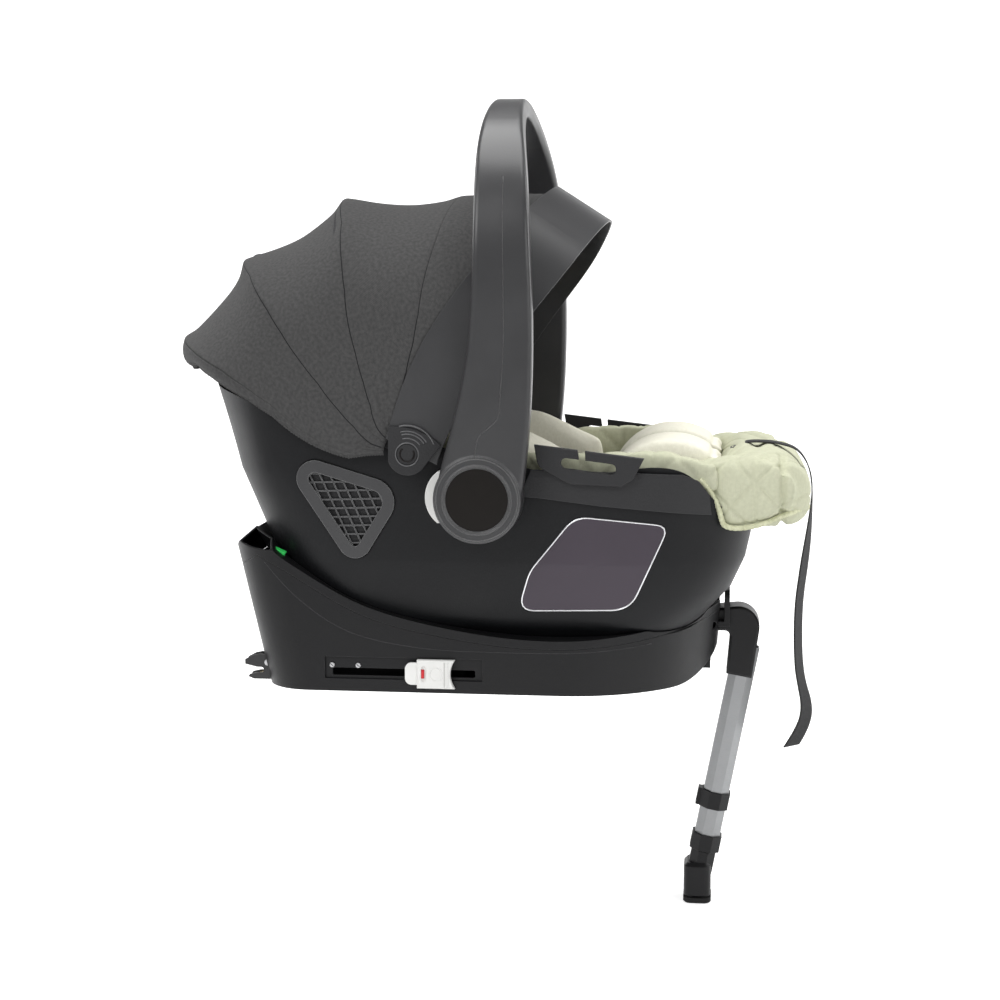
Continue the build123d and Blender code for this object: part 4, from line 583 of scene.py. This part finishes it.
def cushion(name, node, finish, voxel, most, depth_at=no_depth, change=None, blocks=(),
            skin=2.5, smooth=3, rounds=1):
    """A stuffed piece in the place of a CAD solid: filled out, remeshed, swollen, then sewn."""
    piece = piece_from_node(name, node, finish, "carrier", change)
    for outline, low, high in blocks:
        add_block(piece, outline, low, high)
    remesh = piece.modifiers.new("even_mesh", "REMESH")
    remesh.mode = "VOXEL"
    remesh.voxel_size = voxel * MM
    settle(piece)
    press_in(piece, no_depth, 2, skin)
    if most:
        swell(piece, most)
    press_in(piece, no_depth, smooth)
    if rounds:
        rounder = piece.modifiers.new("rounder", "SUBSURF")
        rounder.levels = rounder.render_levels = rounds
        settle(piece)
    press_in(piece, depth_at, 0)
    piece.data.materials.clear()
    piece.data.materials.append(finish)
    return piece


def near_line(value, pitch):
    """Distance from value to the nearest whole multiple of pitch."""
    share = value / pitch
    return abs(share - round(share)) * pitch


QUILT_PITCH = 54.0
QUILT_WIDTH = 2.2
# How far the insert's wings sink, and how far the head end is drawn in
WING_SINK = 22.0
REAR_TUCK = 25.0
# Level to which the foot roll's lower edge is brought up
FOOT_HEM = 168.0
# Side view of the foot roll's flank, which wraps down over the rim
FOOT_FLANK = ((470, 232), (500, 236), (528, 237), (543, 238), (560, 232), (576, 221), (581, 204), (575, 189),
              (560, 180), (537, 171.5), (517, 169), (502, 171), (495, 184), (486, 201), (477, 216))
FOOT_FLANK_SPAN = (118.0, 164.0)
# Side view of the padding between the bolsters and the roll
FOOT_BRIDGE = ((494, 206), (494, 224), (520, 238), (545, 240), (545, 206))
FOOT_BRIDGE_HALF = 132.0
# Side view of the cover's edge, which lies over the shell's rim
COVER_EDGE = ((300, 214), (300, 239), (345, 246), (420, 247), (470, 241), (498, 233), (498, 206), (440, 206))
COVER_EDGE_SPAN = (150.0, 170.0)
# Edge of the foot roll from the rim round to the middle of its front
FOOT_PIPING = ((478, -169, 219), (486, -168, 211), (493, -167, 200), (498.5, -166, 188), (501.5, -165.5, 178),
               (505, -164.5, 170.5), (515, -163, 167.5), (530, -161, 168.5), (547, -157, 172.5),
               (562, -149, 178), (576, -132, 181), (588, -104, 180), (594, -72, 178), (596, -36, 177),
               (596, 0, 177))


def quilt_depth(point, depth, puff):
    """Depth of the sewn channels of the cover: two slanting families and one upright."""
    run = point.x + 0.35 * abs(point.y)
    near = min(near_line(run + point.z, QUILT_PITCH), near_line(run - point.z, QUILT_PITCH),
               near_line(run, QUILT_PITCH))
    return depth * bell(near / QUILT_WIDTH) - puff * smooth_share(near, 3.0, 14.0)


def cover_depth(point, normal):
    """Quilting of the seat cover, on its upper side only."""
    return quilt_depth(point, 1.9, 0.5) if normal.z > -0.35 else 0.0


def foot_depth(point, normal):
    """Quilting of the foot roll, with the deep crease round its front and the groove for the strap."""
    crease = 5.5 * bell((point.x - 566.0) / 3.5) * smooth_share(abs(point.y), 60.0, 110.0)
    groove = 6.0 * bell((point.x - 541.0) / 8.0) * bell(point.y / 55.0) * smooth_share(point.z, 222.0, 236.0)
    return quilt_depth(point, 1.7, 0.4) + crease + groove


def bolster_depth(point, normal):
    """The seam that gives each leg bolster its rolled front."""
    return 3.0 * bell((point.x - 490.0 - 0.3 * (point.z - 235.0)) / 4.0)


def insert_depth(point, normal):
    """The insert's seams: along the foot of each wing and two across the mat."""
    beside = 2.6 * bell((abs(point.y) - 99.0) / 4.0)
    across = sum(1.8 * bell((point.x - place) / 3.6) for place in (140.0, 232.0, 318.0))
    return beside + (across if abs(point.y) < 100 else 0.0)


def lower_wing(point):
    """The insert's wings, which the real filling lets sink between the cover's sides."""
    share = smooth_share(abs(point.y), 96.0, 112.0) * smooth_share(point.z, 150.0, 290.0)
    return point - Vector((0, 0, WING_SINK * share))


def tuck_rear(point):
    """Draw the head end of the carrier in under the canopy's hem."""
    share = smooth_share(60.0 - point.x, 0.0, 130.0) * smooth_share(point.z, 70.0, 165.0)
    return point + Vector((REAR_TUCK * share, 0, 0))


def lift_foot_hem(point):
    """The foot roll's lower edge, brought up to one level."""
    if point.z < FOOT_HEM:
        point = Vector((point.x, point.y, FOOT_HEM - (FOOT_HEM - point.z) * 0.1))
    return point


def add_block(piece, outline, low, high):
    """Add a block to a piece's mesh: a side view between two distances across."""
    shape = bmesh.new()
    shape.from_mesh(piece.data)
    corners = [shape.verts.new(Vector((x, low, z)) * MM) for x, z in outline]
    face = bmesh.ops.contextual_create(shape, geom=corners)["faces"]
    grown = bmesh.ops.extrude_face_region(shape, geom=face, use_keep_orig=True)["geom"]
    for item in grown:
        if isinstance(item, bmesh.types.BMVert):
            item.co.y = high * MM
    bmesh.ops.recalc_face_normals(shape, faces=shape.faces)
    shape.to_mesh(piece.data)
    shape.free()


def smooth_path(points, steps):
    """Points along the curve through a list of places, tied together evenly."""
    made = []
    points = [Vector(point) for point in points]
    ends = [points[0]] + points + [points[-1]]
    for before, start, end, after in zip(ends, ends[1:], ends[2:], ends[3:]):
        for step in range(steps):
            t = step / steps
            made.append(0.5 * (2 * start + (end - before) * t
                               + (2 * before - 5 * start + 4 * end - after) * t ** 2
                               + (3 * start - before - 3 * end + after) * t ** 3))
    return made + [points[-1]]


def build_cushions():
    """Every stuffed or quilted piece, and the piping round the foot roll."""
    edges = [(COVER_EDGE, side * COVER_EDGE_SPAN[0], side * COVER_EDGE_SPAN[1]) for side in (1, -1)]
    cushion("seat_cover_quilted", "seat_cover", SAGE, 3.2, 0, cover_depth, tuck_rear, edges,
            skin=0.3, smooth=5, rounds=0)
    flanks = [(FOOT_FLANK, side * FOOT_FLANK_SPAN[0], side * FOOT_FLANK_SPAN[1]) for side in (1, -1)]
    flanks.append((FOOT_BRIDGE, -FOOT_BRIDGE_HALF, FOOT_BRIDGE_HALF))
    cushion("foot_roll", "foot_cushion", SAGE, 3.4, 5, foot_depth, lift_foot_hem, flanks,
            skin=0.0, smooth=4)
    cushion("infant_insert", "newborn_insert", CREAM, 5.5, 7, insert_depth, lower_wing,
            smooth=12)
    cushion("head_cushion", "head_pillow", CREAM, 5.0, 7)
    for name in LEFT_RIGHT:
        cushion(f"leg_pad_{name}", f"leg_bolster_{name}", CREAM, 5.0, 9, bolster_depth,
                skin=2.5, smooth=5)
    half = smooth_path(FOOT_PIPING, 8)
    whole = half + [Vector((point.x, -point.y, point.z)) for point in reversed(half[:-1])]
    swell_in = [2.9 + 0.25 * sin(step * 2.1) for step in range(len(whole))]
    tube("foot_piping", whole, swell_in, PIPING, "carrier", 8)


# ------------------------------------------------------------------ shell

def build_shell():
    """The carrier's shell and what lines its head end, drawn in under the canopy."""
    piece_from_node("shell_tucked", "shell", SHELL_BLACK, "carrier", tuck_rear)
    piece_from_node("foam_tucked", "foam_liner", TRIM_GREY, "carrier", tuck_rear)
    piece_from_node("head_trim_tucked", "head_trim", TRIM_GREY, "carrier", tuck_rear)


# ------------------------------------------------------------------ webbing

def surface_of(piece):
    """A tree for casting rays at a piece's finished surface."""
    graph = bpy.context.evaluated_depsgraph_get()
    graph.update()
    return BVHTree.FromObject(piece, graph)


def web_strip(name, centre, width, thickness, slot, node, columns=8):
    """Flat webbing along a list of (point, direction across) pairs in millimetres."""
    rows = len(centre) - 1

    def place(u, v):
        point, across = centre[min(rows, round(v * rows))]
        return point + across * (u - 0.5) * width

    piece, flat, area = grid_sheet(name, columns, rows, place, WEBBING, slot, thickness, "carrier")
    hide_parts(node)
    return piece, flat, area


SHOULDER_STRAP_REACH = (86.0, 334.0)
SHOULDER_STRAP_Y = 36.0
SHOULDER_STRAP_LIFT = 1.6
SHOULDER_STRAP_THICKNESS = 1.4
SHOULDER_STRAP_STEPS = 60
CROTCH_STRAP_THICKNESS = 1.6
CROTCH_STRAP_STEPS = 12
STRAP_WIDTH = 38.0
# The adjuster strap's route from its slot, as in the CAD part
WEB_ROUTE = (
    (525.4, 236.6), (523.7, 241.4), (531.5, 243.8), (545, 244), (562, 243), (588, 236), (603, 205),
    (600, 150), (594, 100), (589, 60), (589, 10), (592, -25), (602, -62), (595, -88), (584, -106),
)
WEB_WIDTH = 25.0
WEB_THICKNESS = 1.4
WEB_STEPS = 150
# How far the hanging strap turns from facing forwards, in degrees
WEB_TWIST = 22.0
WEB_END_TWIST = 24.0


def route_points(route, count):
    """Evenly spaced points of the smooth line that a route's points pull."""
    line = bpy.data.curves.new("route", "CURVE")
    line.dimensions = "3D"
    spline = line.splines.new("NURBS")
    spline.points.add(len(route) - 1)
    for point, (x, z) in zip(spline.points, route):
        point.co = (x * MM, 0, z * MM, 1)
    spline.order_u = 3
    spline.use_endpoint_u = True
    spline.resolution_u = 24
    holder = bpy.data.objects.new("route", line)
    bpy.context.collection.objects.link(holder)
    bpy.context.view_layer.update()
    mesh = bpy.data.meshes.new_from_object(holder.evaluated_get(bpy.context.evaluated_depsgraph_get()))
    found = [point.co / MM for point in mesh.vertices]
    bpy.data.objects.remove(holder)
    lengths = [0.0]
    for first, second in zip(found, found[1:]):
        lengths.append(lengths[-1] + (second - first).length)
    made = []
    for step in range(count + 1):
        target = lengths[-1] * step / count
        index = next(i for i in range(1, len(lengths)) if lengths[i] >= target - 1e-6)
        share = (target - lengths[index - 1]) / (lengths[index] - lengths[index - 1])
        made.append(found[index - 1].lerp(found[index], share))
    return made, lengths[-1]


def build_straps():
    """The harness straps and the free adjuster strap."""
    mat = surface_of(bpy.data.objects["infant_insert"])
    rear, front = SHOULDER_STRAP_REACH
    for name, side in LEFT_RIGHT.items():
        centre = []
        for step in range(SHOULDER_STRAP_STEPS + 1):
            x = spread(step / SHOULDER_STRAP_STEPS, rear, front)
            hits = [mat.ray_cast(Vector((x, side * SHOULDER_STRAP_Y + dy, 400)) * MM, Vector((0, 0, -1)))[0]
                    for dy in (-18, 0, 18)]
            z = max(hit.z for hit in hits if hit) / MM
            centre.append((Vector((x, side * SHOULDER_STRAP_Y, z + SHOULDER_STRAP_LIFT)), Vector((0, 1, 0))))
        piece, flat, _ = web_strip(f"shoulder_strap_{name}", centre, STRAP_WIDTH, SHOULDER_STRAP_THICKNESS,
                                   "webbing", "shoulder_straps")
    low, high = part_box("crotch_strap")
    levels = [spread(step / CROTCH_STRAP_STEPS, low.z, high.z) / MM for step in range(CROTCH_STRAP_STEPS + 1)]
    crotch = [(Vector((low.x / MM + 1, 0, level)), Vector((0, 1, 0))) for level in levels]
    piece, flat, _ = web_strip("crotch_strap_web", crotch, STRAP_WIDTH, CROTCH_STRAP_THICKNESS, "webbing",
                               "crotch_strap")
    route, length = route_points(WEB_ROUTE, WEB_STEPS)
    centre = []
    for step, point in enumerate(route):
        share = step / WEB_STEPS
        turn = radians(WEB_TWIST * smooth_share(share, 0.22, 0.5) + WEB_END_TWIST * smooth_share(share, 0.8))
        centre.append((point, Vector((sin(turn), cos(turn), 0))))
    piece, _, _ = web_strip("adjuster_web", centre, WEB_WIDTH, WEB_THICKNESS, "webbing", "adjuster_strap")


# ------------------------------------------------------------------ small details

# Corners of the bare label panel on the right side: along, up and radius
LABEL_CORNERS = ((348, 180, 16), (447, 171.5, 14), (406, 79, 20), (287, 76, 18), (300, 120, 10))
LABEL_LIFT = 0.5
LABEL_BORDER = 0.95


def rounded_outline(corners, steps=8):
    """Points round an outline of (x, z, radius) corners, each turned with a smooth bend."""
    made = []
    count = len(corners)
    for index in range(count):
        corner = Vector(corners[index][:2])
        before, after = Vector(corners[index - 1][:2]), Vector(corners[(index + 1) % count][:2])
        cut = corners[index][2]
        start = corner + (before - corner).normalized() * cut
        end = corner + (after - corner).normalized() * cut
        for step in range(steps + 1):
            t = step / steps
            made.append(start * (1 - t) ** 2 + corner * 2 * t * (1 - t) + end * t ** 2)
    return made


def even_outline(points, count):
    """An outline's points spread evenly along it."""
    closed = points + [points[0]]
    lengths = [0.0]
    for first, second in zip(closed, closed[1:]):
        lengths.append(lengths[-1] + (second - first).length)
    made = []
    index = 1
    for step in range(count):
        target = lengths[-1] * step / count
        while lengths[index] < target:
            index += 1
        share = (target - lengths[index - 1]) / max(lengths[index] - lengths[index - 1], 1e-9)
        made.append(closed[index - 1].lerp(closed[index], share))
    return made


def laid_on(tree, x, z, side, lift):
    """The point of a surface seen from one side at a place, lifted off it."""
    hit = tree.ray_cast(Vector((x, side * 400, z)) * MM, Vector((0, -side, 0)))[0]
    return Vector((x, hit.y / MM + side * lift, z))


def panel_on(name, tree, outline, side, lift, finish, body, rings=10):
    """A thin panel that follows a surface inside an outline."""
    centre = sum(outline, Vector((0, 0))) / len(outline)
    shape = bmesh.new()
    ring = bmesh.ops.create_circle(shape, segments=len(outline), radius=1.0)["verts"]
    last = ring
    for step in range(rings):
        scale = 1 - step / rings
        for point, place in zip(last, outline):
            x, z = centre.lerp(place, scale)
            point.co = laid_on(tree, x, z, side, lift) * MM
        if step < rings - 1:
            edges = [edge for edge in shape.edges if edge.verts[0] in last and edge.verts[1] in last]
            grown = bmesh.ops.extrude_edge_only(shape, edges=edges)["geom"]
            new = {item for item in grown if isinstance(item, bmesh.types.BMVert)}
            last = [next(edge.other_vert(old) for edge in old.link_edges if edge.other_vert(old) in new)
                    for old in last]
    bmesh.ops.contextual_create(shape, geom=last)
    return finished(name, shape, finish, body)


def disc(name, centre, radius, depth, finish, body, direction, sides=24, bevel=0.3):
    """A short round piece such as a screw head, with its rims bevelled."""
    shape = bmesh.new()
    bmesh.ops.create_cone(shape, cap_ends=True, segments=sides, radius1=radius * MM,
                          radius2=radius * MM, depth=depth * MM)
    rims = [edge for edge in shape.edges if all(len(face.verts) == sides for face in edge.link_faces[:1])
            or all(len(face.verts) == sides for face in edge.link_faces[1:])]
    bmesh.ops.bevel(shape, geom=rims, offset=bevel * MM, segments=2, affect="EDGES")
    turn = Vector(direction).to_track_quat("Z", "Y").to_matrix().to_4x4()
    bmesh.ops.transform(shape, matrix=Matrix.Translation(Vector(centre) * MM) @ turn, verts=shape.verts)
    return finished(name, shape, finish, body, sharp=TRIM_SHARP)


def block(name, centre, size, finish, body, bevel=0.6, turn=0.0):
    """A small box with rounded edges, turned about the axis across the seat."""
    shape = bmesh.new()
    bmesh.ops.create_cube(shape, size=1.0)
    bmesh.ops.scale(shape, vec=Vector(size) * MM, verts=shape.verts)
    bmesh.ops.bevel(shape, geom=shape.edges[:], offset=bevel * MM, segments=3, affect="EDGES")
    bmesh.ops.transform(shape, matrix=Matrix.Translation(Vector(centre) * MM) @ Matrix.Rotation(
        radians(turn), 4, "Y"), verts=shape.verts)
    return finished(name, shape, finish, body, sharp=TRIM_SHARP)


def arc_path(centre, radius, start, end, across, steps=24):
    """Points of an arc in a side view, at a distance across; angles in degrees from forwards to up."""
    angles = [radians(spread(step / steps, start, end)) for step in range(steps + 1)]
    return [(centre[0] + radius * cos(angle), across, centre[1] + radius * sin(angle)) for angle in angles]


CAP_CENTRE = (173, 246)
CAP_FACE = 205.2
# Radius, first and last angle and thickness of each raised arc
CAP_ARCS = ((30.5, 20, 106, 0.9), (24.5, 32, 106, 0.75), (21.5, 32, 106, 0.75), (17.0, 36, 106, 0.75))
CAP_RING = 12.2
CAP_C_RING = 7.6


def build_cap_details(name, side):
    """The raised ring and arcs of one visor cap, painted paler as highlights, and its C-shaped groove, drawn
    as a dark cord of painted shade.
    """
    across = side * (CAP_FACE - 0.1)
    for number, (radius, start, end, thick) in enumerate(CAP_ARCS, 1):
        tube(f"cap_arc_{number}_{name}", arc_path(CAP_CENTRE, radius, start, end, across), thick, TRIM_HIGHLIGHT,
             "canopy_front", 6)
    tube(f"cap_ring_{name}", arc_path(CAP_CENTRE, CAP_RING, 0, 352.5, across, 48), 0.8, TRIM_HIGHLIGHT,
         "canopy_front", 6, closed=True)
    # The groove is a dark cord on the cap's face: painted shade standing in for the recess.
    tube(f"cap_groove_shade_{name}", arc_path(CAP_CENTRE, CAP_C_RING, 130, 390, across, 30), 0.95, DISC_BROWN,
         "canopy_front", 6)


HUB_CENTRE = (249.4, 201.5)
HUB_FACE = 228.5
# Radius and thickness of each turned ring
HUB_RINGS = ((42.6, 0.8), (36.2, 1.3), (33.2, 0.5))


def build_hub_details(name, side):
    """The turned rings of one handle hub."""
    for number, (radius, thick) in enumerate(HUB_RINGS, 1):
        across = side * (HUB_FACE - 0.25 * thick)
        tube(f"hub_ring_{number}_{name}", arc_path(HUB_CENTRE, radius, 0, 357, across, 119), thick,
             HANDLE_GREY, "handle", 8, closed=True)


SLIDER_FACE = 192.5
MARK_PLACE = 186.5
MARK_LEVELS = (4.2, 6, 8, 10, 12, 13.6)
THUMB_RING = (201, 8.5)
RIDGE_PLACE = 213.5
RIDGE_LEVELS = (-5.5, 0, 8.5, 17, 22.0)
RAIL_SCREWS = (86.6, 115.0)
# The screws stay above the rail's opening, where the slider's neck runs
SCREW_LEVEL = 15.0
SCREW_FACE = 183.6
SCREW_SLOT_FACE = 184.55


def build_slider_details(name, side):
    """The red mark, thumb ring and ridge of one slider, and the screws of its rail."""
    across = side * SLIDER_FACE
    body = "isofix_carriage"
    mark = [(MARK_PLACE, across, z) for z in MARK_LEVELS]
    tube(f"slider_mark_{name}", mark, 1.7, SIGNAL_RED, body, 12, squash=0.5,
         up=(0, side, 0))
    tube(f"slider_ring_{name}", arc_path(THUMB_RING, 7.0, 0, 352.5, across, 48), 0.7, SOFT_WHITE,
         body, 6, closed=True)
    tube(f"slider_ridge_{name}", [(RIDGE_PLACE, across, z) for z in RIDGE_LEVELS], 0.8, SOFT_WHITE,
         body, 6)
    for number, x in enumerate(RAIL_SCREWS, 1):
        disc(f"rail_screw_{number}_{name}", (x, side * SCREW_FACE, SCREW_LEVEL), 2.8, 2.2, ZINC,
             "base", (0, side, 0))
        # The screw's slot is a dark block on its head: painted shade standing in for the recess.
        block(f"rail_screw_slot_shade_{number}_{name}", (x, side * SCREW_SLOT_FACE, SCREW_LEVEL), (4.2, 0.5, 0.8),
              BASE_BLACK, "base", 0.1, 40)


MOULD_LINE = ((273.8, 534), (275.9, 469), (276.9, 408), (276.9, 357), (273.8, 311), (271.8, 288),
              (262.4, 277), (251, 266.4), (246.8, 246))
BASE_CREASE = ((14, 126), (52.7, 85.4), (106.9, 51.7), (182.8, 36), (269, 33), (354.5, 34), (428.5, 40))


def outer_line(trees, points, side, lift):
    """A smooth line through (x, z) points, laid on the outermost of some surfaces."""
    made = []
    for place in smooth_path([(x, 0, z) for x, z in points], 8):
        hits = [tree.ray_cast(Vector((place.x, side * 400, place.z)) * MM, Vector((0, -side, 0)))[0]
                for tree in trees]
        made.append(Vector((place.x, side * (max(abs(hit.y) for hit in hits if hit) / MM + lift), place.z)))
    return made


def build_mould_lines(name, side):
    """The parting line with its S-shaped end on an arm, and the crease along the base."""
    arm = [surface_of(frame["nodes"]["handle_frame"])]
    tube(f"arm_line_{name}", outer_line(arm, MOULD_LINE, side, -0.15), 0.55, HANDLE_GREY,
         "handle", 6)
    base = [surface_of(frame["nodes"][node]) for node in ("base_lower_housing", "base_upper_housing")]
    tube(f"base_crease_{name}", outer_line(base, BASE_CREASE, side, -0.3), 0.8, TRIM_GREY,
         "base", 6)


# Place of the rivets on the jaw plates: along, up, and across from the seat's middle and the jaw's
RIVET_PLACE = (7.5, 8.5)
JAW_MIDDLE = 140
RIVET_REACH = 9.4


def build_details():
    """Trim that is too fine for the CAD part."""
    shell = surface_of(bpy.data.objects["shell_tucked"])
    outline = even_outline(rounded_outline(LABEL_CORNERS), 96)
    panel_on("label_panel", shell, outline, -1, LABEL_LIFT, LABEL_PURPLE, "carrier")
    border = [laid_on(shell, x, z, -1, LABEL_LIFT) for x, z in outline]
    tube("label_border", border, LABEL_BORDER, SILVER, "carrier", 6, closed=True)
    for name, side in LEFT_RIGHT.items():
        build_cap_details(name, side)
        build_hub_details(name, side)
        build_mould_lines(name, side)
        build_slider_details(name, side)
        for edge in (-1, 1):
            disc(f"jaw_rivet_{name}_{'outer' if edge == side else 'inner'}",
                 (RIVET_PLACE[0], side * JAW_MIDDLE + edge * RIVET_REACH, RIVET_PLACE[1]), 3.6, 1.6, ZINC,
                 "isofix_carriage", (0, edge, 0))


# ------------------------------------------------------------------ camera, light and floor

# Metres, and degrees round and down
CAMERA_PLACE = (0.506126, -2.267196, 0.461484)
CAMERA_TURN = 6.5
CAMERA_DIP = 7.2
FLOOR_LEVEL = -0.2915
# The backdrop in metres: its front edge, flat run, bend radius, whole length and half width
FLOOR_FRONT = -4.0
FLOOR_RUN = 5.0
FLOOR_BEND = 3.2
FLOOR_LENGTH = 9.0
FLOOR_HALF = 8
# Name, place, aim, size and power of each lamp
LAMPS = (
    ("key_light", (-1.5, -2.6, 2.4), (0.2, 0, 0.15), (1.6, 1.6), 60),
    ("fill_light", (2.4, -2.2, 1.2), (0.2, 0, 0.15), (1.4, 1.8), 26),
    ("top_light", (0.3, 0.2, 3.0), (0.2, 0, 0.1), (2.2, 2.2), 72),
    ("left_edge_light", (-2.2, 0.9, 1.0), (0.2, 0, 0.2), (0.7, 2.4), 34),
    ("right_edge_light", (2.7, 1.0, 1.1), (0.2, 0, 0.2), (0.7, 2.4), 30),
)
SKY_STRENGTH = 0.3
PAPER_GLOW = 0.6


def set_camera():
    """The camera, at the height and angle of the view to match."""
    camera = bpy.data.objects.new("camera", bpy.data.cameras.new("camera"))
    bpy.context.collection.objects.link(camera)
    camera.data.sensor_width = 36
    camera.data.lens = 72
    camera.data.clip_end = 50
    camera.location = CAMERA_PLACE
    turn, dip = radians(CAMERA_TURN), radians(CAMERA_DIP)
    look = Vector((-sin(turn) * cos(dip), cos(turn) * cos(dip), -sin(dip)))
    camera.rotation_mode = "QUATERNION"
    camera.rotation_quaternion = look.to_track_quat("-Z", "Y")
    bpy.context.scene.camera = camera


def area_light(name, place, target, size, power):
    """A rectangular lamp that points at a place."""
    lamp = bpy.data.lights.new(name, "AREA")
    lamp.shape = "RECTANGLE"
    lamp.size, lamp.size_y = size
    lamp.energy = power
    holder = bpy.data.objects.new(name, lamp)
    bpy.context.collection.objects.link(holder)
    holder.location = place
    holder.rotation_mode = "QUATERNION"
    holder.rotation_quaternion = (Vector(target) - Vector(place)).to_track_quat("-Z", "Y")


def backdrop_place(across, along):
    """A point of the floor, the bend or the wall, at a distance along the sheet in metres."""
    bend_end = FLOOR_RUN + FLOOR_BEND * pi / 2
    if along < FLOOR_RUN:
        return across * FLOOR_HALF, FLOOR_FRONT + along, FLOOR_LEVEL
    wall = FLOOR_FRONT + FLOOR_RUN + FLOOR_BEND
    if along < bend_end:
        angle = (along - FLOOR_RUN) / FLOOR_BEND
        return (across * FLOOR_HALF, wall - FLOOR_BEND * (1 - sin(angle)),
                FLOOR_LEVEL + FLOOR_BEND * (1 - cos(angle)))
    return across * FLOOR_HALF, wall, FLOOR_LEVEL + FLOOR_BEND + along - bend_end


def build_backdrop():
    """A white floor and backdrop in one curved sheet, which glows where the camera sees it."""
    sheet = bmesh.new()
    bmesh.ops.create_grid(sheet, x_segments=2, y_segments=40, size=1.0)
    for point in sheet.verts:
        point.co = backdrop_place(point.co.x, (point.co.y + 1) / 2 * FLOOR_LENGTH)
    backdrop = bpy.data.objects.new("backdrop", bpy.data.meshes.new("backdrop"))
    sheet.to_mesh(backdrop.data)
    sheet.free()
    backdrop.data.shade_smooth()
    bpy.context.collection.objects.link(backdrop)
    paper = Finish("backdrop_paper", (0.86, 0.86, 0.86), 0.9)
    path = paper.node("ShaderNodeLightPath")
    seen = paper.math("MAXIMUM", path.outputs["Is Camera Ray"], path.outputs["Is Glossy Ray"])
    glow = paper.node("ShaderNodeEmission", {"Color": (1, 1, 1, 1), "Strength": PAPER_GLOW})
    both = paper.node("ShaderNodeAddShader", {0: paper.shader.outputs[0], 1: glow.outputs[0]})
    choice = paper.node("ShaderNodeMixShader", {0: seen, 1: paper.shader.outputs[0], 2: both.outputs[0]})
    output = paper.tree.nodes["Material Output"]
    paper.tree.links.new(choice.outputs[0], output.inputs["Surface"])
    backdrop.data.materials.append(paper.material)


def set_world():
    """A soft sky that the camera sees as plain white."""
    world = bpy.data.worlds.new("studio")
    bpy.context.scene.world = world
    world.use_nodes = True
    sky = world.node_tree.nodes["Background"]
    sky.inputs["Color"].default_value = (1, 1, 1, 1)
    sky.inputs["Strength"].default_value = SKY_STRENGTH
    tree = world.node_tree
    seen_sky = tree.nodes.new("ShaderNodeBackground")
    choice = tree.nodes.new("ShaderNodeMixShader")
    tree.links.new(tree.nodes.new("ShaderNodeLightPath").outputs["Is Camera Ray"], choice.inputs[0])
    seen_sky.inputs["Color"].default_value = (1, 1, 1, 1)
    tree.links.new(sky.outputs[0], choice.inputs[1])
    tree.links.new(seen_sky.outputs[0], choice.inputs[2])
    tree.links.new(choice.outputs[0], tree.nodes["World Output"].inputs["Surface"])


dress_cad_nodes()
build_canopy()
build_shell()
build_cushions()
build_straps()
build_details()
set_camera()
build_backdrop()
for lamp in LAMPS:
    area_light(*lamp)
set_world()
bpy.context.scene.view_settings.view_transform = "Standard"
